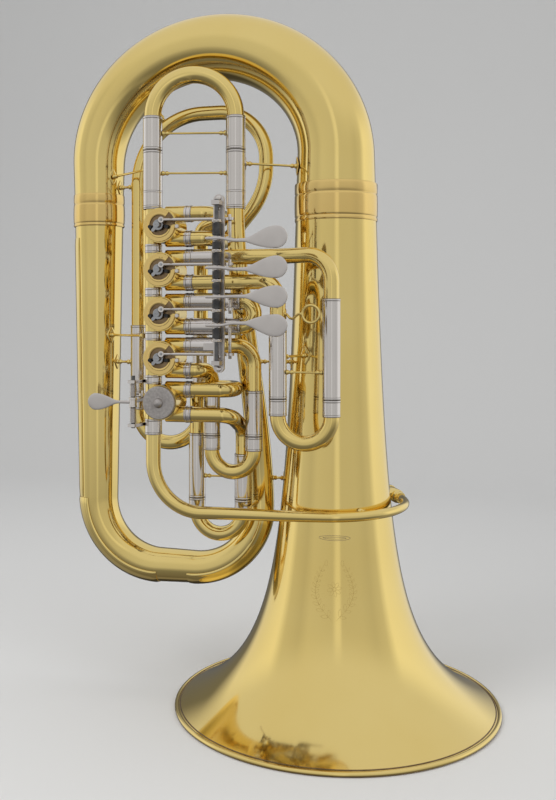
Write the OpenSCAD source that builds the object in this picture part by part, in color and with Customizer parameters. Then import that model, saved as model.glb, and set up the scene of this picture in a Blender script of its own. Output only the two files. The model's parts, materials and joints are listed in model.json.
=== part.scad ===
// Five-valve rotary tuba in F, standing on its bell.
// The origin is the centre of the bell rim on the floor, +Z up, the player's
// side (back) is +Y, the side with the valve faces and paddles (front) is -Y, +X to the right.
// In names, _r is a radius, _x, _y and _z are places or distances along the axes.

/* [Bell] */
// Radius of the bell over its rolled rim
bell_r = 206; // [196:1:212]
// Sheet thickness of the bell
bell_wall = 0.8; // [0.6:0.1:1.1]
// Radius the bell tends to at its small end
throat_r = 45.5; // [44:0.1:46]
// Taper of the bell stem
stem_slope = 0.0136; // [0.010:0.0002:0.016]
// Length scale of the flare
flare_scale = 108.5; // [100:0.5:115]
// Exponent of the flare
flare_power = 1.6876; // [1.6:0.01:1.75]
// Height of the soldered joint between bell and main bow
bow_z = 645; // [642:1:648]

/* [Bows] */
// Distance from the bell axis to the outer branch axis
branch_x = 325; // [320:1:330]
// Height where the main bow starts to turn
bow_turn_z = 700; // [690:1:705]
// Height of the main bow centreline above that
bow_rise = 150; // [146:1:152]
// Tube radius of the main bow at its left end
bow_r_left = 32.7; // [32:0.1:33]
// Tube radius at the foot of the outer branch
branch_r_low = 25.6; // [25:0.1:26]
// Height of the ends of the lower bow
low_z = 252; // [250:1:254]
// Bend radius of the lower bow
low_bend_r = 89; // [86:1:90]
// Distance from the bell axis to the inner branch axis at the lower bow
inner_x = 99; // [98:1:100]
// Tube radius at the foot of the inner branch
inner_r_low = 17.6; // [17:0.1:18]
// Tube radius at the top of the inner branch
inner_r_top = 10.7; // [10.5:0.1:10.9]

/* [Valves] */
// Distance from the bell axis to the rotor axes
rotor_x = 203; // [202:0.5:204]
// Height of the fourth (top) rotor axis
rotor_top = 606.6; // [606:0.2:607]
// Distance between rotor axes
pitch = 54.6; // [54.4:0.1:54.8]
// Depth of the valve plane in front of the bell axis
valve_y = 80; // [80:1:80]
// Radius of the rotors
rotor_r = 18.95; // [18.9:0.01:18.96]
// Bore radius of the casings
casing_bore = 19.0; // [19:0.01:19.02]
// Outer radius of the casings
casing_r = 21.5; // [21.3:0.1:21.6]
// Offset of the ports from the rotor axis
port_off = 15.5; // [15.3:0.1:15.6]
// Crank radius of the stop arms
crank = 8; // [7.8:0.1:8.2]

/* [Slides] */
// Radius of the valve tubing
tube_r = 9.4; // [9.2:0.1:9.5]
// Wall of the valve tubing
tube_wall = 0.7; // [0.6:0.1:0.8]
// Outer radius of the slide sleeves
sleeve_r = 10.6; // [10.5:0.1:10.7]
// Bore radius of the slide sleeves
sleeve_bore = 9.95; // [9.95:0.01:9.98]
// Outer radius of the inner slide legs
leg_r = 9.9; // [9.88:0.01:9.91]
// Outer radius of the main slide sleeves
main_sleeve_r = 12.2; // [12:0.1:12.3]
// Bore radius of the main slide sleeves
main_sleeve_bore = 11.35; // [11.35:0.01:11.38]
// Outer radius of the main slide inner legs
main_leg_r = 11.3; // [11.28:0.01:11.31]

/* [Levers] */
// Distance from the bell axis to the paddle axle
axle_x = 119; // [118:0.5:119.5]
// Depth of the paddle axle in front of the bell axis
axle_y = 140; // [140:0.5:141]
// Radius of the lever axles
axle_r = 2.5; // [2.5:0.01:2.52]
// Length of the drive arm of a paddle
drive = 39.4; // [39.2:0.1:39.6]
// Distance from the bell axis to the thumb lever axle
thumb_x = 238; // [237:0.5:239]
// Depth of the thumb lever axle
thumb_y = 100; // [99:0.5:101]

/* [Mouthpiece end] */
// Bore radius of the receiver
receiver_bore = 6.5; // [6.3:0.1:6.7]
// Length of the receiver
receiver_len = 46; // [42:1:50]

/* [Hidden] */
$fn = 64;
// Gaps between separate parts that meet end to end
seam = 0.05;
joint_gap = 0.4;
slide_gap = 0.3;
// How far a cut runs past the part it cuts
over = 1;
// Wall of the bows, branches and leadpipe, and of the inner slide legs
body_wall = 0.8;
leg_wall = 0.8;
tube_bore = tube_r - tube_wall;

// Axis heights by row, 0 at the top, and by valve number: 4, 3, 2, 1, 5 downwards
function row_z(row) = rotor_top - pitch * row;
function valve_z(valve) = row_z(valve == 5 ? 4 : 4 - valve);
// Height of the upper (side 1) or lower (side -1) loop port of a valve
function port_z(valve, side) = valve_z(valve) + side * port_off;
line_x = -rotor_x - port_off;
// Ends of the casing port stubs, measured from the rotor axis
stub = 21.8;
loop_stub = 27;
port_x = -rotor_x + loop_stub;
// Sideways and upward shift of a crank pin from the rotor axis
pin_shift = crank * sin(45);

// Legs of the main slide, as [x, y]
main_left = [-219.5, -80];
main_right = [-117, -60];
main_sleeve_top = 702;
inner_top_z = 628.5;
// Slides that pull down: left leg [x, y], right leg [x, y], height of the moving joint,
// ferrule length, tops of the left and right sleeves, inner leg length
slide1 = [[-148.5, -58], [-94, -58], 345, 18, 411, 402, 52];
slide3 = [[-53.6, -104], [11, -104], 396, 20, 478, 515, 62];
slide4 = [[-263.6, -12], [-177, -12], 391.4, 20, 483, 470, 60];
slide5 = [[-175, -35], [-114, -35], 262, 15, 345, 320, 50];

// ---------- vectors ----------
function unit(v) = v / norm(v);
function any_perp(dir) = unit(cross(abs(dir.z) < 0.9 ? [0, 0, 1] : [1, 0, 0], dir));
function smooth(t) = t * t * (3 - 2 * t);
function slice(list, first, last) = [for (i = [first:last]) list[i]];
function xyz(point) = [point[0], point[1], point[2]];

// ---------- rods, tubes and bends ----------
// Moves children to an origin, with the given directions as their axes
module place(origin, x, y, z) {
  multmatrix([[x.x, y.x, z.x, origin.x], [x.y, y.y, z.y, origin.y],
    [x.z, y.z, z.z, origin.z], [0, 0, 0, 1]]) children();
}

// Moves children to an origin, with their Z axis along dir
module aim(origin, dir) {
  x = any_perp(dir);
  place(origin, x, cross(dir, x), dir) children();
}

module rod(from, to, radius) {
  aim(from, unit(to - from)) cylinder(h = norm(to - from), r = radius);
}

module tube(from, to, outer, bore) {
  length = norm(to - from);
  aim(from, unit(to - from)) difference() {
    cylinder(h = length, r = outer);
    translate([0, 0, -over]) cylinder(h = length + 2 * over, r = bore);
  }
}

// A bent tube; start points from the centre to its first end, travel is its way there
module bend(centre, start, travel, radius, angle, outer, bore) {
  place(centre, start, travel, cross(start, travel))
    rotate_extrude(angle = angle) translate([radius, 0]) difference() {
      circle(outer, $fn = 48);
      circle(bore, $fn = 48);
    }
}

// A tube along corners [x, y, z, bend radius]
function turn_angle(a, b, c) = acos(min(1, max(-1, unit(b - a) * unit(c - b))));
module pipe(corners, outer, bore) {
  last = len(corners) - 1;
  overlap = 0.4;
  points = [for (corner = corners) xyz(corner)];
  // length that each corner's bend takes from the straights beside it
  cut = [for (i = [0:last]) (i == 0 || i == last) ? 0 :
    corners[i][3] * tan(turn_angle(points[i - 1], points[i], points[i + 1]) / 2)];
  for (i = [0:last - 1]) {
    dir = unit(points[i + 1] - points[i]);
    // each straight runs a little way inside the wall of the bends next to it
    tube(points[i] + dir * (cut[i] - (i > 0 ? overlap : 0)),
      points[i + 1] - dir * (cut[i + 1] - (i < last - 1 ? overlap : 0)), outer, bore);
  }
  for (i = [1:last - 1]) {
    before = unit(points[i] - points[i - 1]);
    after = unit(points[i + 1] - points[i]);
    inward = unit(after - before * (before * after));
    radius = corners[i][3];
    bend(points[i] - before * cut[i] + inward * radius, -inward, before, radius,
      turn_angle(points[i - 1], points[i], points[i + 1]), outer + 0.05, bore - 0.05);
  }
}

module valve_pipe(corners) {
  pipe(corners, tube_r, tube_bore);
}

// A tapered tube of body_wall through centres, with outer radii and count points a ring;
// side is never parallel to the path
function travel_at(path, i) = unit(path[min(i + 1, len(path) - 1)] - path[max(i - 1, 0)]);
function ring_at(centre, travel, radius, side, count) =
  let(u = unit(cross(side, travel)), v = cross(travel, u))
  [for (k = [0:count - 1])
    centre + radius * (cos(360 * k / count) * u + sin(360 * k / count) * v)];
module loft(centres, travel, radii, count, side = [0, 1, 0]) {
  rings = len(centres);
  function skin(inset) = [for (i = [0:rings - 1])
    each ring_at(centres[i], travel[i], radii[i] - inset, side, count)];
  // index of the first inner point, and of the first point of the last outer ring
  in = rings * count;
  end = (rings - 1) * count;
  faces = [
    for (i = [0:rings - 2]) for (k = [0:count - 1])
      let(k2 = (k + 1) % count, a = i * count + k, b = i * count + k2,
        c = a + count, d = b + count)
      each [[a, c, b], [b, c, d], [in + a, in + b, in + c], [in + b, in + d, in + c]],
    for (k = [0:count - 1]) let(k2 = (k + 1) % count)
      each [[k, k2, in + k], [k2, in + k2, in + k],
            [end + k, in + end + k, end + k2], [end + k2, in + end + k, in + end + k2]]
  ];
  polyhedron(points = concat(skin(0), skin(body_wall)), faces = faces, convexity = 8);
}

// A shell that hugs a bent tube, half_angle to each side of its outer line
guard_gap = 0.3;
guard_wall = 1.0;
module guard(centres, travel, radii, half_angle, count) {
  rings = len(centres);
  function guard_point(i, k, radius) =
    let(u = unit(cross([0, 1, 0], travel[i])), v = cross(travel[i], u),
      angle = half_angle * (2 * k / count - 1))
    centres[i] + radius * (cos(angle) * u + sin(angle) * v);
  points = [for (i = [0:rings - 1]) each concat(
    [for (k = [0:count]) guard_point(i, k, radii[i] + guard_gap + guard_wall)],
    [for (k = [count:-1:0]) guard_point(i, k, radii[i] + guard_gap)])];
  loop = 2 * (count + 1);
  end = (rings - 1) * loop;
  faces = [
    for (i = [0:rings - 2]) for (k = [0:loop - 1])
      let(k2 = (k + 1) % loop, here = i * loop, next = here + loop)
      each [[here + k, next + k, here + k2], [here + k2, next + k, next + k2]],
    for (k = [0:count - 1]) let(far = loop - 1 - k)
      each [[k, k + 1, far], [k + 1, far - 1, far],
            [end + k, end + far, end + k + 1], [end + k + 1, end + far, end + far - 1]]
  ];
  polyhedron(points = points, faces = faces, convexity = 6);
}

// ---------- bell ----------
throat_z = 620;
flare_start = 3.2;
flare_inset = 1.5;
// Rolled rim: a ring tube with a wire in it
rim_r = 3;
rim_bore = 2;
rim_wire_r = 1.95;
rim_z = 2.6;
// Profile stations, closer together towards the rim
bell_steps = 40;
bell_low = 4.7;
bell_spacing = 2.2;
bell_stations = [for (i = [0:bell_steps])
  bell_low + (bow_z - bell_low) * pow(i / bell_steps, bell_spacing)];

function stem(z) = throat_r + stem_slope * (throat_z - z);
function bell_radius(z) = stem(z) + (bell_r - flare_inset - stem(0))
  * pow(flare_scale / (max(z - flare_start, 0) + flare_scale), flare_power);
function bell_slope(z) = (bell_radius(z + 0.5) - bell_radius(z)) / 0.5;
// Inner point of the sheet at station i, square to the outer face except at the top
function bell_inside(i) =
  let(z = bell_stations[i], slope = bell_slope(z), stretch = sqrt(1 + slope * slope))
  [bell_radius(z) - bell_wall / stretch,
   z + (i == bell_steps ? 0 : bell_wall * slope / stretch)];

module bell() {
  color("gold") rotate_extrude($fn = 160) difference() {
    union() {
      polygon(concat([for (z = bell_stations) [bell_radius(z), z]],
        [for (i = [bell_steps:-1:0]) bell_inside(i)]));
      translate([bell_r - rim_r, rim_z]) circle(rim_r, $fn = 48);
    }
    translate([bell_r - rim_r, rim_z]) circle(rim_bore, $fn = 48);
    // flat underside on the floor
    translate([0, -20]) square([400, 20]);
  }
}

module bell_rim_wire() {
  color("silver") rotate_extrude($fn = 160)
    translate([bell_r - rim_r, rim_z]) circle(rim_wire_r, $fn = 48);
}

// ---------- bows and branches ----------
// Ferrule with three raised beads
module ferrule_ring(bore, wall, z0, z1) {
  rotate_extrude($fn = 96) polygon([[bore, z0], [bore + wall * 0.6, z0],
    [bore + wall, z0 + 1.5], [bore + wall, z0 + 5], [bore + wall * 0.7, z0 + 6.5],
    [bore + wall * 1.1, z0 + (z1 - z0) * 0.45],
    [bore + wall * 0.7, z1 - 14], [bore + wall, z1 - 12.5],
    [bore + wall, z1 - 10], [bore + wall * 0.7, z1 - 8.5],
    [bore + wall * 0.7, z1 - 3], [bore + wall, z1 - 1.5], [bore + wall * 0.6, z1], [bore, z1]]);
}

bell_ferrule_z = 615;
module bow_ferrules() {
  color("orange") {
    ferrule_ring(bell_radius(bell_ferrule_z) + 0.12, 1.5, bell_ferrule_z, 663);
    translate([-branch_x, 0, 0]) ferrule_ring(33.35, 1.4, 616, 659);
  }
}

// Main bow: a half ellipse with a short leg at each end
half_span = branch_x / 2;
bow_angles = [for (i = [0:26]) 180 * i / 26];
bow_leg_z = [bow_z + joint_gap, (bow_z + bow_turn_z) / 2];
bow_path = concat([for (z = bow_leg_z) [0, 0, z]],
  [for (a = bow_angles) [-half_span + half_span * cos(a), 0, bow_turn_z + bow_rise * sin(a)]],
  [for (i = [1, 0]) [-branch_x, 0, bow_leg_z[i]]]);
bow_travel = concat([[0, 0, 1], [0, 0, 1]],
  [for (a = bow_angles) unit([-half_span * sin(a), 0, bow_rise * cos(a)])],
  [[0, 0, -1], [0, 0, -1]]);
bow_last = len(bow_path) - 1;
bow_r_right = bell_radius(bow_z);
bow_radii = [for (i = [0:bow_last]) bow_r_right + (bow_r_left - bow_r_right) * i / bow_last];

module main_bow() {
  color("gold") loft(bow_path, bow_travel, bow_radii, 36);
}

module outer_branch() {
  height = bow_z - low_z - joint_gap;
  end = 0.01;
  color("gold") translate([-branch_x, 0, low_z + joint_gap]) difference() {
    cylinder(h = height, r1 = branch_r_low, r2 = bow_r_left, $fn = 96);
    translate([0, 0, -end]) cylinder(h = height + 2 * end,
      r1 = branch_r_low - body_wall, r2 = bow_r_left - body_wall, $fn = 96);
  }
}

// Lower bow: two quarter bends with a straight between them
low_steps = 9;
low_angles = [for (i = [0:low_steps]) 90 * i / low_steps];
low_path = concat(
  [for (a = low_angles)
    [-branch_x + low_bend_r - low_bend_r * cos(a), 0, low_z - low_bend_r * sin(a)]],
  [for (a = low_angles)
    [-inner_x - low_bend_r + low_bend_r * sin(a), 0, low_z - low_bend_r * cos(a)]]);
low_travel = concat([for (a = low_angles) [sin(a), 0, -cos(a)]],
  [for (a = low_angles) [cos(a), 0, sin(a)]]);
low_last = len(low_path) - 1;
low_radii = [for (i = [0:low_last]) branch_r_low + (inner_r_low - branch_r_low) * i / low_last];

module lower_bow() {
  color("gold") loft(low_path, low_travel, low_radii, 28);
}

// Inner branch: an S from the lower bow to the right main slide sleeve
inner_steps = 14;
inner_foot = low_z + joint_gap;
inner_path = [for (i = [0:inner_steps]) let(s = i / inner_steps)
  [-inner_x + (main_right.x + inner_x) * smooth(s), main_right.y * smooth(s),
   inner_foot + (inner_top_z - inner_foot) * s]];
inner_travel = [for (i = [0:inner_steps])
  (i == 0 || i == inner_steps) ? [0, 0, 1] : travel_at(inner_path, i)];
inner_radii = [for (i = [0:inner_steps])
  inner_r_low + (inner_r_top - inner_r_low) * i / inner_steps];

module inner_branch() {
  color("gold") loft(inner_path, inner_travel, inner_radii, 24);
}

// Guard plates on the outer side of the lower bow and the outer branch
guard_top = 600;
module bow_guards() {
  color("gold") {
    for (span = [[0, low_steps], [low_steps + 1, low_last - 1]])
      guard(slice(low_path, span[0], span[1]), slice(low_travel, span[0], span[1]),
        slice(low_radii, span[0], span[1]), 75, 20);
    guard([[-branch_x, 0, guard_top], [-branch_x, 0, low_z + 1]], [[0, 0, -1], [0, 0, -1]],
      [branch_r_low + (bow_r_left - branch_r_low) * (guard_top - low_z) / (bow_z - low_z),
       branch_r_low], 55, 12);
  }
}

// ---------- leadpipe ----------
lead_top = 346.5;
lead_bend_r = 62;
lead_z = 251;
lead_rise = 4; // climb over the straight, and again over the wrap
wrap_r = 90;
wrap_closing = 3; // loss of wrap radius along the wrap
wrap_angle = 115;
wrap_steps = 14;
// Down from the valve line, a quarter bend, across, then round the bell
lead_path = concat(
  [[line_x, -valve_y, lead_top]],
  [for (a = [0:10:90]) [line_x + lead_bend_r - lead_bend_r * cos(a), -valve_y,
    lead_z + lead_bend_r - lead_bend_r * sin(a)]],
  [for (i = [1:8]) let(s = i / 8)
    [line_x + lead_bend_r + (-line_x - lead_bend_r) * s,
     -valve_y - (wrap_r - valve_y) * smooth(s), lead_z + lead_rise * s]],
  [for (i = [1:wrap_steps]) let(s = i / wrap_steps, a = -90 + wrap_angle * s)
    [(wrap_r - wrap_closing * s) * cos(a), (wrap_r - wrap_closing * s) * sin(a),
     lead_z + lead_rise + lead_rise * s]]);
lead_last = len(lead_path) - 1;
lead_end_dir = [-sin(wrap_angle - 90), cos(wrap_angle - 90), 0];
lead_travel = [for (i = [0:lead_last]) i == 0 ? [0, 0, -1] :
  i == lead_last ? lead_end_dir : travel_at(lead_path, i)];
// Radii at the top, near the end of the straight (station 17) and at the receiver
lead_r_top = 9.3;
lead_r_mid = 6.1;
lead_r_end = 5;
lead_mid = 17;
lead_radii = [for (i = [0:lead_last])
  i < 2 ? lead_r_top :
  i <= lead_mid ? lead_r_top + (lead_r_mid - lead_r_top) * (i - 1) / (lead_mid - 1) :
  lead_r_mid + (lead_r_end - lead_r_mid) * (i - lead_mid) / (lead_last - lead_mid)];

module leadpipe() {
  color("gold") loft(lead_path, lead_travel, lead_radii, 16, unit([1, -1, 1]));
}

// Receiver outline as [radius, distance from the leadpipe end]
receiver_outline = [[0, 0], [6.6, 0], [7.6, 3], [7.6, 10], [8.8, 12],
  [8.8, receiver_len - 6], [9.8, receiver_len - 5], [9.8, receiver_len - 1],
  [9.2, receiver_len], [0, receiver_len]];
module mouthpiece_receiver() {
  color("gold") aim(lead_path[lead_last] + lead_end_dir * 0.1, lead_end_dir) difference() {
    rotate_extrude() polygon(receiver_outline);
    translate([0, 0, -over]) cylinder(h = 12, r = 4.2);
    translate([0, 0, 10]) cylinder(h = receiver_len, r = receiver_bore);
  }
}

// ---------- braces ----------
// A thin rod with a socket at each end
module brace(from, to, radius) {
  dir = unit(to - from);
  socket_r = radius + 1.4;
  rod(from, to, radius);
  rod(from + dir * 0.5, from + dir * 7, socket_r);
  rod(to - dir * 7, to - dir * 0.5, socket_r);
}

// A level brace between two legs [x, y], its ends moved in from the leg axes by inset
module leg_brace(left, right, z, inset) {
  brace([left.x + inset.x, left.y + inset.y, z], [right.x - inset.x, right.y - inset.y, z], 1.5);
}

// Body braces: from, to, radius
body_brace_rows = [
  // main bow to the left main slide sleeve
  [[-294.9, -20.7, 681], [-230.3, -73.6, 680], 1.8],
  // right main slide sleeve to the bell side of the main bow
  [[-105.8, -54.3, 686], [-47.8, -19.25, 686], 1.8],
  // fourth-valve loop to the top and to the left leg of the main bow
  [[-229, -11.4, 754.1], [-242.6, -7.1, 785], 1.8],
  [[-273.1, -10.2, 668], [-291.1, -7, 668], 1.8],
  // left fourth slide sleeve to the outer branch
  [[-274.3, -10.1, 434], [-296.4, -5.8, 434], 1.8],
  // valve line to the outer branch
  [[-231.1, -80.6, 470.1], [-300.3, -17, 470.1], 1.8],
  // inner branch to the bell
  [[-82.1, 0, 285], [-67.8, 0, 285], 1.6],
  [[-93.3, -26.2, 437], [-54.55, -21.1, 437], 1.6],
  // third slide sleeve to the bell
  [[-47.4, -94.8, 446], [-31.05, -49.2, 446], 1.8],
  // leadpipe to the bell
  [[46.2, -68.6, 258.5], [38.2, -59.35, 258.5], 2],
  // leadpipe to the inner branch
  [[-104, -75.2, 252.5], [-100.5, -19, 256], 1.6]];

module body_braces() {
  color("gold") for (row = body_brace_rows) brace(row[0], row[1], row[2]);
}

ring_centre = [-12, -113, 497];
ring_wire = [[-42.8, -104, 497, 0], [-36, -108, 490, 6], [-27, -113, 497, 6],
  [-22.2, -113, 497, 0]];
module slide_braces() {
  color("gold") {
    leg_brace(main_left, main_right, 674, [12.1, 2.4]);
    leg_brace(slide3[0], slide3[1], 428, [sleeve_r + 0.15, 0]);
    leg_brace(slide5[0], slide5[1], 290, [sleeve_r + 0.15, 0]);
  }
  // finger ring on its bent wire
  color("silver") {
    pipe(ring_wire, 1.5, 0.2);
    translate(ring_centre) rotate([90, 0, 0]) rotate_extrude()
      translate([10.2, 0]) circle(1.7, $fn = 32);
  }
}

// ---------- valves ----------
casing_front = -101;
casing_back = -59;
port_r = 10;
port_bore = 8.3;
port_start = 2; // where the port stubs and their bores start, from the rotor axis
bore_start = 8;
spindle_r = 3;
spindle_hole = 3.05;

module cyl_y(radius, y0, y1) {
  translate([0, y1, 0]) rotate([90, 0, 0]) cylinder(h = y1 - y0, r = radius);
}
// Stacked discs: radius, front y, back y
module discs(rows) {
  for (row = rows) cyl_y(row[0], row[1], row[2]);
}
module cyl_x(radius, length) {
  rotate([0, 90, 0]) cylinder(h = length, r = radius);
}
module at_valve(valve) {
  translate([-rotor_x, 0, valve_z(valve)]) children();
}

module casing() {
  difference() {
    union() {
      cyl_y(casing_r, casing_front, casing_back);
      for (side = [-1, 1]) {
        translate([-port_off, -valve_y, side > 0 ? port_start : -stub])
          cylinder(h = stub - port_start, r = port_r);
        translate([port_start, -valve_y, side * port_off]) cyl_x(port_r, loop_stub - port_start);
      }
    }
    cyl_y(casing_bore, casing_front - over, casing_back + over);
    for (side = [-1, 1]) {
      translate([-port_off, -valve_y, side > 0 ? bore_start : -stub - over])
        cylinder(h = stub - bore_start + over, r = port_bore);
      translate([bore_start, -valve_y, side * port_off]) cyl_x(port_bore, loop_stub);
    }
  }
}

module valve_casings() {
  color("gold") for (valve = [1:5]) at_valve(valve) casing();
}

module front_bearing_plates() {
  color("gold") for (valve = [1:4]) at_valve(valve) difference() {
    union() {
      discs([[20.2, -103, casing_front - seam], [14, -104, -103]]);
      // lug with a round boss at its end
      translate([17, -103, -4.5]) cube([9, 1.95, 5]);
      translate([24, 0, -2]) cyl_y(2.6, -106, -103);
    }
    cyl_y(spindle_hole, -110, -100);
  }
}

module back_caps() {
  color("gold") {
    for (valve = [1:4]) at_valve(valve) difference() {
      discs([[20.6, casing_back + seam, -55.5], [9, -55.5, -54.3]]);
      cyl_y(spindle_hole, -60, -56.5);
    }
    // open bearing plate of the fifth valve
    at_valve(5) difference() {
      cyl_y(19.8, casing_back + seam, -56);
      cyl_y(spindle_hole, -59.95, -55);
    }
  }
}

module valve5_cap() {
  color("silver") at_valve(5) difference() {
    discs([[20.6, -105.4, casing_front - seam], [19.6, -106.2, -105.4],
      [6.2, -110.5, -106.2], [5.2, -111.6, -110.5]]);
    cyl_y(spindle_hole, -104.3, -100);
  }
}

// Bumpers stand in front of valves 1 to 4 and behind valve 5
module stop_bumpers() {
  from_axis = 10.8;
  color("dimgray") for (valve = [1:5]) at_valve(valve) for (a = [192, 348])
    translate([from_axis * cos(a), 0, from_axis * sin(a)])
      if (valve < 5) cyl_y(2.3, -108.4, -104.05);
      else cyl_y(2.3, -55.95, -51.6);
}

// Ferrules on the loop ports: valve, side (1 upper, -1 lower), length
loop_ferrules = [[4, 1, 9], [4, -1, 9], [3, 1, 38], [3, -1, 11],
  [1, 1, 45], [1, -1, 9], [5, 1, 9], [5, -1, 9]];
module connectors() {
  color("silver") {
    // valve line between the casings, and down to the leadpipe
    for (row = [0:4])
      tube([line_x, -valve_y, row == 4 ? 347 : row_z(row + 1) + stub + seam],
        [line_x, -valve_y, row_z(row) - stub - seam], 10.8, port_bore);
    for (row = loop_ferrules) {
      z = port_z(row[0], row[1]);
      tube([port_x + seam, -valve_y, z], [port_x + row[2], -valve_y, z], 10.4, 8.6);
    }
  }
}

rotor_front = -100.5;
rotor_back = -59.5;
module rotor(valve) {
  color("goldenrod") at_valve(valve) {
    difference() {
      cyl_y(rotor_r, rotor_front, rotor_back);
      // two straight channels
      for (side = [-1, 1]) translate([side * 10.5, -valve_y, -25]) cylinder(h = 50, r = 7.8);
    }
    cyl_y(spindle_r, valve < 5 ? -111 : -104, rotor_front);
    cyl_y(spindle_r, rotor_back, valve < 5 ? -57 : -49.5);
  }
}
module rotor_1() rotor(1);
module rotor_2() rotor(2);
module rotor_3() rotor(3);
module rotor_4() rotor(4);
module rotor_5() rotor(5);

// Hub, crank and tail of a stop arm; side 1 cranks to the right, -1 to the left
module arm_shape(y0, y1, side) {
  thick = y1 - y0;
  tail = 9;
  difference() {
    union() {
      cyl_y(5.5, y0, y1);
      rotate([0, side > 0 ? -45 : -135, 0]) {
        translate([0, y0, -2.4]) cube([crank, thick, 4.8]);
        translate([crank, 0, 0]) cyl_y(2.6, y0, y1);
        translate([-tail, y0, -2]) cube([tail, thick, 4]);
        translate([-tail, 0, 0]) cyl_y(2, y0, y1);
      }
    }
    cyl_y(3.02, y0 - over, y1 + over);
  }
}

module stop_arm(valve) {
  color("silver") at_valve(valve) {
    if (valve < 5) {
      arm_shape(-108, -105, 1);
      translate([pin_shift, 0, pin_shift]) cyl_y(1.5, -113.6, -108);
      // slotted clamp screw
      difference() {
        cyl_y(3.4, -112.6, -111.05);
        translate([-5, -113, -0.5]) cube([10, 0.8, 1]);
      }
    } else {
      arm_shape(-55, -52, -1);
      translate([-pin_shift, 0, pin_shift]) cyl_y(1.5, -52, -46.9);
    }
  }
}
module stop_arm_1() stop_arm(1);
module stop_arm_2() stop_arm(2);
module stop_arm_3() stop_arm(3);
module stop_arm_4() stop_arm(4);
module stop_arm_5() stop_arm(5);

// ---------- linkage ----------
half_swing = 8.25;
drive_dx = drive * sin(half_swing);
drive_dy = drive * cos(half_swing);
thumb_arm = 50;
thumb_swing = 6.5;
thumb_dx = -thumb_arm * sin(thumb_swing);
thumb_dy = thumb_arm * cos(thumb_swing);
paddle_eye = [-axle_x + drive_dx, -axle_y + drive_dy + 0.2];
thumb_eye = [-thumb_x + thumb_dx, -thumb_y + thumb_dy + 0.16];

// A level link from a boss on a crank pin to an upright eye.
// boss and hole are [front y, back y], eye is [x, y], rods are [from xy, to xy, radius].
module link(z, pin_x, boss, hole, eye, rods) {
  color("silver") difference() {
    union() {
      translate([pin_x, 0, z]) cyl_y(3.6, boss[0], boss[1]);
      for (row = rods) rod([row[0].x, row[0].y, z], [row[1].x, row[1].y, z], row[2]);
      translate([eye.x, eye.y, z - 1.6]) cylinder(h = 3.2, r = 5);
    }
    translate([pin_x, 0, z]) cyl_y(1.56, hole[0], hole[1]);
    translate([eye.x, eye.y, z - 4]) cylinder(h = 8, r = 2.9);
  }
}

module link_rod(valve) {
  pin_x = -rotor_x + pin_shift;
  eye = paddle_eye;
  link(valve_z(valve) + pin_shift, pin_x, [-112.6, -109.2], [-114, -108], eye, [
    [[pin_x + 2, -110.8], eye - [3.4, 0.4], 1.4],
    [[pin_x + 3, -110.7], [pin_x + 11, -109.9], 1.7],
    [[pin_x + 14, -109.4], eye - [14, 1.7], 2],
    [eye - [16, 2], eye - [4, 0.5], 2.2]]);
}
module link_rod_1() link_rod(1);
module link_rod_2() link_rod(2);
module link_rod_3() link_rod(3);
module link_rod_4() link_rod(4);

module thumb_link() {
  pin_x = -rotor_x - pin_shift;
  link(valve_z(5) + pin_shift, pin_x, [-51.6, -48.4], [-54, -46], thumb_eye, [
    [[pin_x - 2, -50], thumb_eye + [3.4, 0], 1.4],
    [[pin_x - 3, -49.9], [pin_x - 11, -49.9], 1.7]]);
}

// Touch plate outline along +X, narrow at x = 0 and widest at leaf_peak of its length
leaf_peak = 0.66;
leaf_root = 2.6;
leaf_steps = 22;
function leaf_width(s, half_width) = s < leaf_peak
  ? leaf_root + (half_width - leaf_root) * smooth(s / leaf_peak)
  : half_width * sqrt(max(0, 1 - pow((s - leaf_peak) / (1 - leaf_peak), 2)));
module leaf(length, half_width) {
  function edge(i, side) = let(s = sin(90 * i / leaf_steps))
    [length * s, side * leaf_width(s, half_width)];
  polygon(concat([for (i = [0:leaf_steps]) edge(i, 1)],
    [for (i = [leaf_steps - 1:-1:0]) edge(i, -1)]));
}

module axle_hole() {
  translate([0, 0, -10]) cylinder(h = 20, r = axle_r + 0.05);
}

// Hub heights of paddles 1 to 4
hub_z = [483.7, 516.9, 551.0, 585.4];
hub_half = 3;
module paddle(valve) {
  hub = hub_z[valve - 1];
  rod_height = valve_z(valve) + pin_shift - hub;
  post_low = min(-2, rod_height - 5.5);
  post_high = max(2, rod_height + 5.5);
  color("silver") translate([-axle_x, -axle_y, hub]) difference() {
    union() {
      translate([0, 0, -hub_half]) cylinder(h = 2 * hub_half, r = 5);
      translate([-3.5, -6.5, -hub_half]) cube([7, 6.5, 2 * hub_half]);
      // lever strip across the front of the axle
      translate([-12, -8.2, -1.8]) cube([49, 2.6, 3.6]);
      // touch plate
      translate([33, -5.9, 0]) rotate([90, 0, 0]) linear_extrude(2) leaf(53, 13);
      // drive arm, bent round the carrier plate
      translate([13, -7, -1.8]) cube([4, 37.4, 3.6]);
      translate([drive_dx, drive_dy, -2]) rotate([0, 0, -45])
        translate([0, -2, 0]) cube([14.5, 4, 4]);
      translate([drive_dx, drive_dy, -2]) cylinder(h = 4, r = 3.2);
      // drive post
      translate([drive_dx, drive_dy, post_low]) cylinder(h = post_high - post_low, r = 2);
    }
    axle_hole();
  }
}
module paddle_1() paddle(1);
module paddle_2() paddle(2);
module paddle_3() paddle(3);
module paddle_4() paddle(4);

carrier_front = -axle_y + 9;
carrier_thick = 4;
carrier_back = carrier_front + carrier_thick;
carrier_r = 6.5; // half width and end radius of the plate
carrier_low = 434;
carrier_high = 632;
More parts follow.
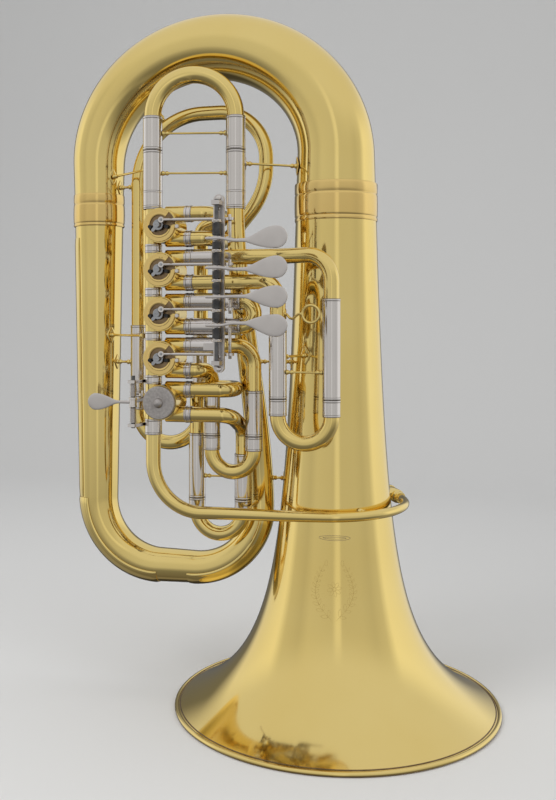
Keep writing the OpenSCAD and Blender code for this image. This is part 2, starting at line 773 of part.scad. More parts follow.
// Posts from the carrier to the valve tubing: x, z, distance of the end from the valve plane
side_post_x = -134;
carrier_posts = [[-axle_x, port_z(3, 1), 9.5], [side_post_x, port_z(1, 1), 10.5]];
module paddle_carrier() {
  color("silver") difference() {
    union() {
      translate([-axle_x - carrier_r, carrier_front, carrier_low])
        cube([2 * carrier_r, carrier_thick, carrier_high - carrier_low]);
      for (z = [carrier_low, carrier_high])
        translate([-axle_x, 0, z]) cyl_y(carrier_r, carrier_front, carrier_back);
      // axle bearings
      for (z = [437, 625]) translate([-axle_x - 5, -axle_y - 5.5, z]) cube([10, 14.6, 5]);
      // tab out to the lower post
      translate([side_post_x - 4, carrier_front, port_z(1, 1) - 4])
        cube([16, carrier_thick, 8]);
      for (post = carrier_posts) translate([post[0], 0, post[1]]) {
        cyl_y(3, carrier_back, -valve_y - post[2]);
        cyl_y(5, -94, -valve_y - post[2]);
      }
    }
    translate([-axle_x, -axle_y, 430]) cylinder(h = 210, r = axle_r + 0.02);
    // holes in the rounded ends
    for (z = [carrier_low - 2, carrier_high + 2])
      translate([-axle_x, 0, z]) cyl_y(1.6, carrier_front - over, carrier_back + over);
  }
}

module lever_axles() {
  color("dimgray") {
    translate([-axle_x, -axle_y, 435.5]) cylinder(h = 196, r = axle_r);
    translate([-thumb_x, -thumb_y, 356]) cylinder(h = 65, r = axle_r);
  }
}

// Collar 0 is the lowest; paddle n lies between collars n - 1 and n
function collar_z(i) = 466 + 35 * i;
collar_half = 1.5;
module axle_collars() {
  color("silver") for (i = [0:4])
    translate([-axle_x, -axle_y, collar_z(i) - collar_half]) difference() {
      cylinder(h = 2 * collar_half, r = 6);
      translate([0, 0, -over]) cylinder(h = 2 * (collar_half + over), r = axle_r + 0.05);
    }
}

// Springs, as plain tubes, above and below each paddle hub
module paddle_springs() {
  gap = 0.3;
  color("dimgray") translate([-axle_x, -axle_y, 0]) for (n = [1:4]) {
    hub = hub_z[n - 1];
    for (ends = [[hub + hub_half + gap, collar_z(n) - collar_half - gap],
                 [collar_z(n - 1) + collar_half + gap, hub - hub_half - gap]])
      tube([0, 0, ends[0]], [0, 0, ends[1]], 5.3, 3.6);
  }
}

thumb_z = 388;
module thumb_lever() {
  color("silver") translate([-thumb_x, -thumb_y, thumb_z]) difference() {
    union() {
      translate([0, 0, -6]) cylinder(h = 12, r = 5);
      translate([-24, -1.5, -3]) cube([24, 3, 6]);
      // touch plate
      translate([-20, 1, 0]) rotate([90, 0, 0]) linear_extrude(2) mirror([1, 0]) leaf(40, 10.5);
      // drive arm and post
      translate([0, 0, -2]) rotate([0, 0, atan2(thumb_dy, thumb_dx)])
        translate([0, -2, 0]) cube([thumb_arm, 4, 4]);
      translate([thumb_dx, thumb_dy, -2]) {
        cylinder(h = 4, r = 3.2);
        cylinder(h = valve_z(5) + pin_shift - thumb_z + 7, r = 2);
      }
    }
    axle_hole();
  }
}

bracket_outline = [[-243.5, -105], [-234, -106], [-229.5, -92], [-229.5, -72], [-232, -71]];
module thumb_bracket() {
  color("silver") for (z = [411.5, 357.5]) translate([0, 0, z]) difference() {
    linear_extrude(4) polygon(bracket_outline);
    translate([-thumb_x, -thumb_y, -over]) cylinder(h = 6, r = axle_r + 0.02);
  }
}

// ---------- slides ----------
// Second slide, which pulls to the right: ends of its ferrules
slide2_joint = -125;
slide2_end = -104;

module upright_tube(leg, z0, z1, outer, bore) {
  tube([leg.x, leg.y, z0], [leg.x, leg.y, z1], outer, bore);
}

module slide_sleeves() {
  color("silver") {
    upright_tube(main_left, rotor_top + stub + 0.1, main_sleeve_top,
      main_sleeve_r, main_sleeve_bore);
    upright_tube(main_right, inner_top_z + 0.1, main_sleeve_top,
      main_sleeve_r, main_sleeve_bore);
    for (slide = [slide1, slide3, slide4, slide5]) for (leg = [0, 1])
      upright_tube(slide[leg], slide[2] + slide_gap, slide[4 + leg], sleeve_r, sleeve_bore);
    for (side = [-1, 1])
      tube([port_x + seam, -valve_y, port_z(2, side)],
        [slide2_joint - slide_gap, -valve_y, port_z(2, side)], sleeve_r, sleeve_bore);
  }
}

// Ends of a valve's tubing: just past a loop ferrule, and just above a sleeve
function loop_start(valve, side) =
  let(length = [for (row = loop_ferrules) if (row[0] == valve && row[1] == side) row[2]][0])
  [port_x + length + 0.1, -valve_y, port_z(valve, side), 0];
function sleeve_end(slide, leg) = [slide[leg].x, slide[leg].y, slide[4 + leg] + 0.1, 0];

module valve1_tubes() {
  left = slide1[0];
  right = slide1[1];
  upper = port_z(1, 1);
  lower = port_z(1, -1);
  color("gold") {
    valve_pipe([loop_start(1, 1), [-125, -valve_y, upper, 12],
      [right.x, right.y, upper, 25], sleeve_end(slide1, 1)]);
    valve_pipe([loop_start(1, -1), [-160, -valve_y, lower, 11],
      [left.x, left.y, lower, 15.5], sleeve_end(slide1, 0)]);
  }
}

module valve3_tubes() {
  left = slide3[0];
  right = slide3[1];
  upper = port_z(3, 1);
  lower = port_z(3, -1);
  color("gold") {
    valve_pipe([loop_start(3, 1), [-60, -valve_y, upper, 40],
      [right.x, right.y, upper, 32], sleeve_end(slide3, 1)]);
    valve_pipe([loop_start(3, -1), [-104, -valve_y, lower, 40],
      [left.x, left.y, lower, 24], sleeve_end(slide3, 0)]);
  }
}

module valve4_tubes() {
  y = slide4[0].y;
  turn_x = -143;
  right_x = -89;
  top = 761;
  upper = port_z(4, 1);
  lower = port_z(4, -1);
  color("gold") {
    // long loop up under the main bow and down to the left leg
    valve_pipe([loop_start(4, -1), [turn_x, -valve_y, lower, 16],
      [turn_x, y, lower, 16], [right_x, y, 655, 90], [right_x, y, top, 62],
      [slide4[0].x, y, top, 90], sleeve_end(slide4, 0)]);
    valve_pipe([loop_start(4, 1), [turn_x, -valve_y, upper, 16],
      [turn_x, y, upper, 14], [slide4[1].x, y, upper - 12, 15], sleeve_end(slide4, 1)]);
  }
}

module valve5_tubes() {
  y = slide5[0].y;
  upper = port_z(5, 1);
  lower = port_z(5, -1);
  color("gold") {
    valve_pipe([loop_start(5, 1), [-119, -valve_y, upper, 16], [-119, y, upper, 20],
      [slide5[0].x, y, upper, 18], sleeve_end(slide5, 0)]);
    valve_pipe([loop_start(5, -1), [-118, -valve_y, lower, 16],
      [slide5[1].x, y, lower - 20, 17], sleeve_end(slide5, 1)]);
  }
}

// Half-circle bow between two upright legs; way is 1 for a bow on top, -1 below
module u_bow(left, right, z, way, outer, bore) {
  across = right - left;
  centre = (left + right) / 2;
  bend([centre.x, centre.y, z], unit([-across.x, -across.y, 0]), [0, 0, way],
    norm(across) / 2, 180, outer, bore);
}

module low_bow(slide) {
  color("gold")
    u_bow(slide[0], slide[1], slide[2] - slide[3] - seam, -1, tube_r, tube_bore);
}

// Ferrules and inner legs of a slide that pulls down
module low_legs(slide) {
  joint = slide[2];
  ferrule = slide[3];
  length = slide[6];
  color("silver") for (leg = [0, 1]) translate([slide[leg].x, slide[leg].y, joint]) difference() {
    union() {
      translate([0, 0, -ferrule]) cylinder(h = ferrule, r = sleeve_r);
      translate([0, 0, -0.01]) cylinder(h = length, r = leg_r);
    }
    translate([0, 0, -ferrule - over])
      cylinder(h = ferrule + length + 2 * over, r = leg_r - leg_wall);
  }
}

main_joint = main_sleeve_top + slide_gap;
main_ferrule = 42.7;
main_leg_foot = 640;
module main_slide_bow() {
  color("gold") {
    u_bow(main_left, main_right, main_joint + main_ferrule + seam, 1, 10.7, 10);
    // cross brace between the moving ferrules
    leg_brace(main_left, main_right, 724, [12.2, 2.4]);
  }
}
module main_slide_legs() {
  color("silver") for (leg = [main_left, main_right]) translate([leg.x, leg.y, 0]) difference() {
    union() {
      translate([0, 0, main_joint]) cylinder(h = main_ferrule, r = main_sleeve_r);
      translate([0, 0, main_leg_foot])
        cylinder(h = main_joint - main_leg_foot + 0.01, r = main_leg_r);
    }
    translate([0, 0, main_leg_foot - over]) cylinder(h = 108, r = main_leg_r - leg_wall);
  }
}

module slide_1_bow() low_bow(slide1);
module slide_1_legs() low_legs(slide1);
module slide_3_bow() low_bow(slide3);
module slide_3_legs() low_legs(slide3);
module slide_4_bow() low_bow(slide4);
module slide_4_legs() low_legs(slide4);
module slide_5_bow() low_bow(slide5);
module slide_5_legs() low_legs(slide5);

module slide_2_bow() {
  color("gold") bend([slide2_end + seam, -valve_y, valve_z(2)], [0, 0, -1], [1, 0, 0],
    port_off, 180, tube_r, tube_bore);
}
module slide_2_legs() {
  length = 35;
  color("silver") for (side = [-1, 1])
    translate([slide2_joint, -valve_y, port_z(2, side)]) difference() {
      union() {
        cyl_x(sleeve_r, slide2_end - slide2_joint);
        translate([-length, 0, 0]) cyl_x(leg_r, length + 0.01);
      }
      translate([-length - over, 0, 0]) cyl_x(leg_r - leg_wall, 58);
    }
}

bell();
bell_rim_wire();
bow_ferrules();
main_bow();
outer_branch();
lower_bow();
inner_branch();
bow_guards();
leadpipe();
mouthpiece_receiver();
body_braces();
slide_braces();
valve_casings();
front_bearing_plates();
back_caps();
valve5_cap();
stop_bumpers();
connectors();
rotor_1();
rotor_2();
rotor_3();
rotor_4();
rotor_5();
stop_arm_1();
stop_arm_2();
stop_arm_3();
stop_arm_4();
stop_arm_5();
link_rod_1();
link_rod_2();
link_rod_3();
link_rod_4();
thumb_link();
paddle_1();
paddle_2();
paddle_3();
paddle_4();
paddle_carrier();
lever_axles();
axle_collars();
paddle_springs();
thumb_lever();
thumb_bracket();
slide_sleeves();
valve1_tubes();
valve3_tubes();
valve4_tubes();
valve5_tubes();
main_slide_bow();
main_slide_legs();
slide_1_bow();
slide_1_legs();
slide_2_bow();
slide_2_legs();
slide_3_bow();
slide_3_legs();
slide_4_bow();
slide_4_legs();
slide_5_bow();
slide_5_legs();
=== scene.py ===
# Looks for the five-valve rotary tuba. Lengths in the helpers are millimetres; meshes are stored in metres.
import bpy, bmesh, math, json
import numpy as np
from mathutils import Vector, Matrix


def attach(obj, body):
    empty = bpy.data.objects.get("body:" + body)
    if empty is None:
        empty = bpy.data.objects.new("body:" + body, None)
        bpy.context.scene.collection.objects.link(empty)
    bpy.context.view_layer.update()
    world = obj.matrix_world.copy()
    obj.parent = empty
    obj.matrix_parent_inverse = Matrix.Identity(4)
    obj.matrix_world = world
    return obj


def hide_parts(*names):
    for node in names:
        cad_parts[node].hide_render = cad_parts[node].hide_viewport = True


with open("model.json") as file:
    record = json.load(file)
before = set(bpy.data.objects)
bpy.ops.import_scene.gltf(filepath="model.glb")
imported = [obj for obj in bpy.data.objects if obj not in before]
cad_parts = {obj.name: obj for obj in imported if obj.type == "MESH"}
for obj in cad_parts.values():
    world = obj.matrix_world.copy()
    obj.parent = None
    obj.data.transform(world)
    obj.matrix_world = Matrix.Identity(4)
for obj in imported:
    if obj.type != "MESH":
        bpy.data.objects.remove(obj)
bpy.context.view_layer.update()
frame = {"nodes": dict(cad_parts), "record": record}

NODES = frame["nodes"]
MM = 0.001
V = lambda *a: np.array(a, float)

def unit(v):
    v = np.asarray(v, float)
    return v / max(np.linalg.norm(v), 1e-12)

def smooth01(t):
    return t * t * (3 - 2 * t)

# ------------------------------------------------------------------ materials
def new_mat(name):
    m = bpy.data.materials.new(name)
    m.use_nodes = True
    nt = m.node_tree
    b = nt.nodes.get("Principled BSDF")
    return m, nt, b

def metal(name, c0, c1, rough=(0.08, 0.2), scale=14.0, bump=0.0, bump_scale=900.0, coat=0.0,
          aniso=0.0, stretch=(1, 1, 1), crease_shade=None):
    """Polished or satin metal: colour drifts between c0 and c1, roughness varies, fine bump, painted shade in creases.
    """
    m, nt, b = new_mat(name)
    N, L = nt.nodes, nt.links
    tc = N.new("ShaderNodeTexCoord")
    mp = N.new("ShaderNodeMapping")
    mp.inputs["Scale"].default_value = stretch
    L.new(tc.outputs["Object"], mp.inputs["Vector"])
    n1 = N.new("ShaderNodeTexNoise"); n1.inputs["Scale"].default_value = scale
    n1.inputs["Detail"].default_value = 3
    L.new(mp.outputs["Vector"], n1.inputs["Vector"])
    r1 = N.new("ShaderNodeValToRGB")
    r1.color_ramp.elements[0].position = 0.32; r1.color_ramp.elements[0].color = (*c0, 1)
    r1.color_ramp.elements[1].position = 0.70; r1.color_ramp.elements[1].color = (*c1, 1)
    L.new(n1.outputs["Fac"], r1.inputs["Fac"])
    col = r1.outputs["Color"]
    if crease_shade:
        # painted shade: a darker, redder tone where the surface faces its neighbours closely
        ao = N.new("ShaderNodeAmbientOcclusion"); ao.samples = 4
        ao.inputs["Distance"].default_value = 0.006
        rr = N.new("ShaderNodeValToRGB")
        rr.color_ramp.elements[0].position = 0.25; rr.color_ramp.elements[0].color = (*crease_shade, 1)
        rr.color_ramp.elements[1].position = 0.75; rr.color_ramp.elements[1].color = (1, 1, 1, 1)
        L.new(ao.outputs["AO"], rr.inputs["Fac"])
        mx = N.new("ShaderNodeMix"); mx.data_type = "RGBA"; mx.blend_type = "MULTIPLY"
        mx.inputs["Factor"].default_value = 1.0
        L.new(col, mx.inputs["A"]); L.new(rr.outputs["Color"], mx.inputs["B"])
        col = mx.outputs["Result"]
    L.new(col, b.inputs["Base Color"])
    b.inputs["Metallic"].default_value = 1.0
    n2 = N.new("ShaderNodeTexNoise"); n2.inputs["Scale"].default_value = scale * 3.1
    n2.inputs["Detail"].default_value = 2
    L.new(mp.outputs["Vector"], n2.inputs["Vector"])
    mr = N.new("ShaderNodeMapRange")
    mr.inputs["From Min"].default_value = 0.3; mr.inputs["From Max"].default_value = 0.75
    mr.inputs["To Min"].default_value = rough[0]; mr.inputs["To Max"].default_value = rough[1]
    L.new(n2.outputs["Fac"], mr.inputs["Value"])
    L.new(mr.outputs["Result"], b.inputs["Roughness"])
    if bump > 0:
        n3 = N.new("ShaderNodeTexNoise"); n3.inputs["Scale"].default_value = bump_scale
        n3.inputs["Detail"].default_value = 3
        L.new(mp.outputs["Vector"], n3.inputs["Vector"])
        bp = N.new("ShaderNodeBump"); bp.inputs["Strength"].default_value = bump
        bp.inputs["Distance"].default_value = 0.0002
        L.new(n3.outputs["Fac"], bp.inputs["Height"])
        L.new(bp.outputs["Normal"], b.inputs["Normal"])
    if coat:
        b.inputs["Coat Weight"].default_value = coat
        b.inputs["Coat Roughness"].default_value = 0.03
        b.inputs["Coat IOR"].default_value = 1.45
    if aniso:
        b.inputs["Anisotropic"].default_value = aniso
    return m

M = {}
# the last colour given to the brass, nickel and steel wire finishes below is painted shade in creases
M["lacquered_brass"] = metal("lacquered_brass", (0.85, 0.645, 0.222), (0.885, 0.69, 0.262), (0.055, 0.115), 7.0,
                             bump=0.012, bump_scale=110.0, coat=0.2, crease_shade=(0.46, 0.35, 0.26))
M["gold_brass"] = metal("gold_brass", (0.82, 0.575, 0.195), (0.86, 0.625, 0.235), (0.06, 0.13), 7.0,
                        bump=0.012, bump_scale=110.0, coat=0.2, crease_shade=(0.46, 0.35, 0.26))
M["nickel_silver"] = metal("nickel_silver", (0.70, 0.66, 0.63), (0.755, 0.715, 0.685), (0.10, 0.17), 12.0,
                           bump=0.015, bump_scale=260.0, crease_shade=(0.40, 0.34, 0.29))
M["satin_nickel"] = metal("satin_nickel", (0.665, 0.625, 0.60), (0.715, 0.675, 0.65), (0.34, 0.44), 40.0,
                          bump=0.04, bump_scale=900.0, crease_shade=(0.5, 0.42, 0.34))
M["rotor_bronze"] = metal("rotor_bronze", (0.55, 0.36, 0.17), (0.66, 0.46, 0.24), (0.2, 0.35), 40.0, bump=0.05)
M["steel_wire"] = metal("steel_wire", (0.36, 0.37, 0.39), (0.46, 0.47, 0.49), (0.18, 0.28), 60.0, crease_shade=(0.4, 0.36, 0.33))
M["dark_steel"] = metal("dark_steel", (0.12, 0.12, 0.125), (0.20, 0.195, 0.19), (0.30, 0.42), 160.0, bump=0.05)
# painted shade: a dark brown brass for the recessed well floors and the dark line on the bell rim
M["shade_brass"] = metal("shade_brass", (0.20, 0.135, 0.075), (0.32, 0.225, 0.13), (0.25, 0.4), 90.0)
M["cap_nickel"] = metal("cap_nickel", (0.44, 0.41, 0.395), (0.60, 0.565, 0.54), (0.36, 0.5), 330.0)
M["engraving"] = metal("engraving", (0.66, 0.475, 0.155), (0.73, 0.54, 0.185), (0.22, 0.32), 60.0)
M["engraving_dark"] = metal("engraving_dark", (0.36, 0.27, 0.15), (0.44, 0.34, 0.2), (0.25, 0.35), 60.0)
# painted shade: a near-black metal for the thin rings that stand in for the shadows of the turned cuts beside the beads
M["line_shade"] = metal("line_shade", (0.10, 0.085, 0.07), (0.16, 0.14, 0.12), (0.35, 0.5), 60.0)

def plain(name, c0, c1, rough, scale=200.0, bump=0.1, metallic=0.0):
    m, nt, b = new_mat(name)
    N, L = nt.nodes, nt.links
    tc = N.new("ShaderNodeTexCoord")
    n1 = N.new("ShaderNodeTexNoise"); n1.inputs["Scale"].default_value = scale
    L.new(tc.outputs["Object"], n1.inputs["Vector"])
    r1 = N.new("ShaderNodeValToRGB")
    r1.color_ramp.elements[0].position = 0.35; r1.color_ramp.elements[0].color = (*c0, 1)
    r1.color_ramp.elements[1].position = 0.7; r1.color_ramp.elements[1].color = (*c1, 1)
    L.new(n1.outputs["Fac"], r1.inputs["Fac"])
    L.new(r1.outputs["Color"], b.inputs["Base Color"])
    b.inputs["Roughness"].default_value = rough
    b.inputs["Metallic"].default_value = metallic
    bp = N.new("ShaderNodeBump"); bp.inputs["Strength"].default_value = bump
    bp.inputs["Distance"].default_value = 0.0002
    L.new(n1.outputs["Fac"], bp.inputs["Height"])
    L.new(bp.outputs["Normal"], b.inputs["Normal"])
    return m

M["black_rubber"] = plain("black_rubber", (0.012, 0.012, 0.012), (0.03, 0.03, 0.03), 0.7)
M["white_nylon"] = plain("white_nylon", (0.66, 0.65, 0.62), (0.78, 0.77, 0.74), 0.42, 300.0, 0.05)

# --------------------------------------------------------------- mesh helpers
def obj_from(name, verts, faces, mat, body="root", replaces=(), angle=35.0, bevel=0.0):
    me = bpy.data.meshes.new(name)
    me.from_pydata([tuple(v) for v in (np.asarray(verts, float) * MM)], [], [tuple(f) for f in faces])
    me.validate(clean_customdata=False)
    me.update()
    me.polygons.foreach_set("use_smooth", [True] * len(me.polygons))
    me.set_sharp_from_angle(angle=math.radians(angle))
    me.materials.append(M[mat])
    o = bpy.data.objects.new(name, me)
    bpy.context.scene.collection.objects.link(o)
    if bevel > 0:
        bv = o.modifiers.new("edge", "BEVEL")
        bv.width = bevel * MM; bv.segments = 2; bv.limit_method = "ANGLE"
        bv.angle_limit = math.radians(angle); bv.harden_normals = True
    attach(o, body)
    if replaces:
        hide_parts(*replaces)
    return o

def outward(o):
    """Turns every closed shell of a piece to face outwards."""
    bm = bmesh.new(); bm.from_mesh(o.data)
    bmesh.ops.recalc_face_normals(bm, faces=bm.faces)
    bm.to_mesh(o.data); bm.free()

class Geo:
    """Collects vertices and faces of several closed shells into one piece."""
    def __init__(self):
        self.v, self.f = [], []
    def add(self, v, f):
        o = len(self.v)
        self.v.extend([tuple(x) for x in v])
        self.f.extend([tuple(i + o for i in x) for x in f])
        return self

def path_frames(P, closed=False, up=None):
    P = np.asarray(P, float)
    n = len(P)
    T = np.zeros_like(P)
    if closed:
        T = np.roll(P, -1, 0) - np.roll(P, 1, 0)
    else:
        T[1:-1] = P[2:] - P[:-2]
        T[0] = P[1] - P[0]; T[-1] = P[-1] - P[-2]
    T /= np.linalg.norm(T, axis=1)[:, None]
    if up is None:
        up = V(0, 0, 1) if abs(T[0][2]) < 0.8 else V(0, 1, 0)
    U = np.zeros_like(P)
    u = unit(up - T[0] * np.dot(up, T[0]))
    U[0] = u
    for i in range(1, n):
        u = unit(u - T[i] * np.dot(u, T[i]))
        U[i] = u
    W = np.cross(T, U)
    return P, T, U, W

def sweep(P, R, n=48, wall=None, T0=None, T1=None, closed=False, up=None, lip=0.0):
    """A round tube along P with radii R. With wall it is hollow and open at both ends, else solid."""
    P, T, U, W = path_frames(P, closed, up)
    if T0 is not None: T[0] = unit(T0)
    if T1 is not None: T[-1] = unit(T1)
    for i in (0, len(P) - 1):
        U[i] = unit(U[i] - T[i] * np.dot(U[i], T[i])); W[i] = np.cross(T[i], U[i])
    R = np.broadcast_to(np.asarray(R, float), (len(P),)).copy()
    a = np.linspace(0, 2 * math.pi, n, endpoint=False)
    ca, sa = np.cos(a), np.sin(a)
    def ring(R):
        return P[:, None, :] + R[:, None, None] * (ca[None, :, None] * U[:, None, :] + sa[None, :, None] * W[:, None, :])
    m = len(P)
    outer = ring(R).reshape(-1, 3)
    faces = []
    rng = range(m if closed else m - 1)
    for i in rng:
        j = (i + 1) % m
        for k in range(n):
            l = (k + 1) % n
            faces.append((i * n + k, i * n + l, j * n + l, j * n + k))
    if closed:
        return outer, faces
    if wall:
        inner = ring(R - wall).reshape(-1, 3)
        o = m * n
        for i in range(m - 1):
            for k in range(n):
                l = (k + 1) % n
                faces.append((o + i * n + k, o + (i + 1) * n + k, o + (i + 1) * n + l, o + i * n + l))
        e = (m - 1) * n
        for k in range(n):
            l = (k + 1) % n
            faces.append((k, o + k, o + l, l))
            faces.append((e + k, e + l, o + e + l, o + e + k))
        return np.vstack([outer, inner]), faces
    faces.append(tuple(range(n - 1, -1, -1)))
    faces.append(tuple((m - 1) * n + k for k in range(n)))
    return outer, faces

def lathe(profile, origin=(0, 0, 0), axis=(0, 0, 1), n=48, closed_profile=True, up=None):
    """Revolves a profile of (r, h) points about an axis. A closed profile that stays off the axis makes a ring;
    an open profile that starts and ends on the axis makes a solid."""
    ax = unit(axis)
    u = V(1, 0, 0) if abs(ax[0]) < 0.8 else V(0, 1, 0)
    if up is not None: u = V(*up)
    u = unit(u - ax * np.dot(u, ax)); w = np.cross(ax, u)
    O = V(*origin)
    vs, idx = [], []
    for r, h in profile:
        if r < 1e-9:
            idx.append([len(vs)] * n); vs.append(O + ax * h)
        else:
            row = []
            for k in range(n):
                a = 2 * math.pi * k / n
                row.append(len(vs)); vs.append(O + ax * h + r * (math.cos(a) * u + math.sin(a) * w))
            idx.append(row)
    faces = []
    m = len(profile)
    for i in range(m if closed_profile else m - 1):
        A, B = idx[i], idx[(i + 1) % m]
        for k in range(n):
            l = (k + 1) % n
            q = [A[k], A[l], B[l], B[k]]
            q = [x for j, x in enumerate(q) if x != q[j - 1]]
            if len(q) >= 3: faces.append(tuple(q))
    return vs, faces

def round_path(pts, step=4.0, line=14.0):
    """Dense centreline of a polyline [(x, y, z, bend radius)] with round corners."""
    pts = [np.array(p, float) for p in pts]
    out = []
    def lin(a, b):
        d = np.linalg.norm(b - a); k = max(1, int(math.ceil(d / line)))
        for i in range(k): out.append(a + (b - a) * i / k)
    prev = pts[0][:3]
    for i in range(1, len(pts) - 1):
        a, b, c, R = pts[i - 1][:3], pts[i][:3], pts[i + 1][:3], pts[i][3]
        d1, d2 = unit(b - a), unit(c - b)
        w = math.acos(max(-1, min(1, float(np.dot(d1, d2)))))
        cut = R * math.tan(w / 2)
        s = b - d1 * cut
        nn = unit(d2 - d1 * np.dot(d1, d2))
        C = s + nn * R
        lin(prev, s)
        k = max(2, int(math.ceil(math.degrees(w) / step)))
        for j in range(k):
            t = w * j / k
            out.append(C - nn * R * math.cos(t) + d1 * R * math.sin(t))
        prev = C - nn * R * math.cos(w) + d1 * R * math.sin(w)
    lin(prev, pts[-1][:3]); out.append(pts[-1][:3])
    return np.array(out)

def arc_path(c, s, t, R, deg, k=64):
    return np.array([V(*c) + R * (math.cos(a) * V(*s) + math.sin(a) * V(*t)) for a in np.linspace(0, math.radians(deg), k + 1)])

def torus(c, axis, R, r, n=64, m=16):
    ax = unit(axis); u = V(1, 0, 0) if abs(ax[0]) < 0.8 else V(0, 1, 0)
    u = unit(u - ax * np.dot(u, ax)); w = np.cross(ax, u)
    P = np.array([V(*c) + R * (math.cos(a) * u + math.sin(a) * w) for a in np.linspace(0, 2 * math.pi, n, endpoint=False)])
    return sweep(P, r, m, closed=True, up=ax)

def bead(c, axis, R, h=0.9, w=1.3, n=56):
    """A small raised ring line round a tube of radius R."""
    return lathe([(R - 0.3, -w), (R + h * 0.35, -w), (R + h * 0.85, -w * 0.55), (R + h, 0), (R + h * 0.85, w * 0.55),
                  (R + h * 0.35, w), (R - 0.3, w)], c, axis, n)

def line_ring(c, axis, R, w=0.22, n=56):
    """A thin dark ring round a tube of radius R: painted shade standing in for the shadow along a turned cut."""
    return lathe([(R - 0.1, -w), (R + 0.05, -w), (R + 0.05, w), (R - 0.1, w)], c, axis, n)

# ------------------------------------------------------------------ the design's numbers, as in the frame
bell_r, bell_wall, throat_r, stem_slope = 206.0, 0.8, 45.5, 0.0136
flare_z, flare_g, bow_z = 108.5, 1.6876, 645.0
branch_x, bow_turn_z, bow_rise, bow_r_left = 325.0, 700.0, 150.0, 32.7
branch_r_low, low_z, low_R, inner_x, inner_r_low, inner_r_top = 25.6, 252.0, 89.0, 99.0, 17.6, 10.7
rotor_x, valve_y, pitch, port_off, crank = 203.0, 80.0, 54.6, 15.5, 8.0
zA = 606.6
VZ = [zA - pitch * i for i in range(5)]
line_x = -rotor_x - port_off
stub, loop_stub = 21.8, 27.0
port_x = -rotor_x + loop_stub
tube_r, tube_wall, sleeve_r, main_sleeve_r = 9.4, 0.7, 10.6, 12.2
mL, mR = (-219.5, -80.0), (-117.0, -60.0)
S1 = ((-148.5, -58.0), (-94.0, -58.0), 345.0, 18.0)
S3 = ((-53.6, -104.0), (11.0, -104.0), 396.0, 20.0)
S4 = ((-263.6, -12.0), (-177.0, -12.0), 391.4, 20.0)
S5 = ((-175.0, -35.0), (-114.0, -35.0), 262.0, 15.0)
axle_x, axle_y, drive = 119.0, 140.0, 39.4
HUB = [585.4, 551.0, 516.9, 483.7]
COLLAR = [606.0, 571.0, 536.0, 501.0, 466.0]
thumb_x, thumb_y = 238.0, 100.0
rod_dz = crank * math.sin(math.pi / 4)

def stem(z): return throat_r + stem_slope * (620 - z)
def bell_f(z): return stem(z) + (bell_r - 1.5 - stem(0)) * (flare_z / (max(z - 3.2, 0) + flare_z)) ** flare_g

# ------------------------------------------------------------------ bell
zs = [4.7 + (bow_z - 4.7) * (i / 150) ** 2.0 for i in range(151)]
prof_o, prof_i = [], []
for z in zs:
    d = (bell_f(z + 0.25) - bell_f(z)) / 0.25
    s = math.sqrt(1 + d * d)
    prof_o.append((bell_f(z), z)); prof_i.append((bell_f(z) - bell_wall / s, z + bell_wall * d / s))
prof_i[-1] = (prof_i[-1][0], bow_z)
# rolled rim: the sheet turns out and down round the wire, flattened where it stands on the floor
cx, cz, rr = bell_r - 3.0, 2.95, 2.95
roll = []
for k in range(0, 40):
    a = math.radians(128 - 8.2 * k)
    if 128 - 8.2 * k < -170: break
    roll.append((cx + rr * math.cos(a), max(cz + rr * math.sin(a), 0.0)))
profile = list(reversed(prof_o)) + roll + [(prof_i[0][0] - 0.2, prof_i[0][1] - 0.5)] + prof_i
# (top outer -> rim -> round the roll -> inner -> top inner)
v, f = lathe(profile, n=256)
bell = obj_from("bell_shell", v, f, "lacquered_brass", replaces=("bell",), angle=40)
outward(bell)

# ------------------------------------------------------------------ bows and branches
def bow_points(k=120):
    P = [V(0, 0, bow_z + (bow_turn_z - bow_z) * i / 8) for i in range(8)]
    P += [V(-branch_x / 2 + branch_x / 2 * math.cos(math.pi * i / k), 0, bow_turn_z + bow_rise * math.sin(math.pi * i / k)) for i in range(k + 1)]
    P += [V(-branch_x, 0, bow_turn_z - (bow_turn_z - bow_z) * i / 8) for i in range(1, 9)]
    return np.array(P)
P = bow_points()
L = np.concatenate([[0], np.cumsum(np.linalg.norm(np.diff(P, axis=0), axis=1))]); L /= L[-1]
rb = bell_f(bow_z)
v, f = sweep(P, rb + (bow_r_left - rb) * L, 96, 0.8, T0=(0, 0, 1), T1=(0, 0, -1), up=V(0, 1, 0))
obj_from("main_bow_shell", v, f, "lacquered_brass", replaces=("main_bow",))
P = np.array([V(-branch_x, 0, bow_z - (bow_z - low_z) * i / 40) for i in range(41)])
v, f = sweep(P, np.linspace(bow_r_left, branch_r_low, 41), 80, 0.8, up=V(0, 1, 0))
obj_from("outer_branch_tube", v, f, "lacquered_brass", replaces=("outer_branch",))
LOW = np.array([V(-branch_x + low_R - low_R * math.cos(a), 0, low_z - low_R * math.sin(a)) for a in np.linspace(0, math.pi / 2, 37)]
     + [V(-branch_x + low_R + (branch_x - inner_x - 2 * low_R) * i / 8, 0, low_z - low_R) for i in range(1, 8)]
     + [V(-inner_x - low_R + low_R * math.sin(a), 0, low_z - low_R * math.cos(a)) for a in np.linspace(0, math.pi / 2, 37)])
LL = np.concatenate([[0], np.cumsum(np.linalg.norm(np.diff(LOW, axis=0), axis=1))]); LL /= LL[-1]
LOWR = branch_r_low + (inner_r_low - branch_r_low) * LL
v, f = sweep(LOW, LOWR, 72, 0.8, T0=(0, 0, -1), T1=(0, 0, 1), up=V(0, 1, 0))
obj_from("lower_bow_shell", v, f, "lacquered_brass", replaces=("lower_bow",))
k = 60
P = np.array([V(-inner_x + (mR[0] + inner_x) * smooth01(s), mR[1] * smooth01(s), low_z + (628.5 - low_z) * s) for s in np.linspace(0, 1, k)])
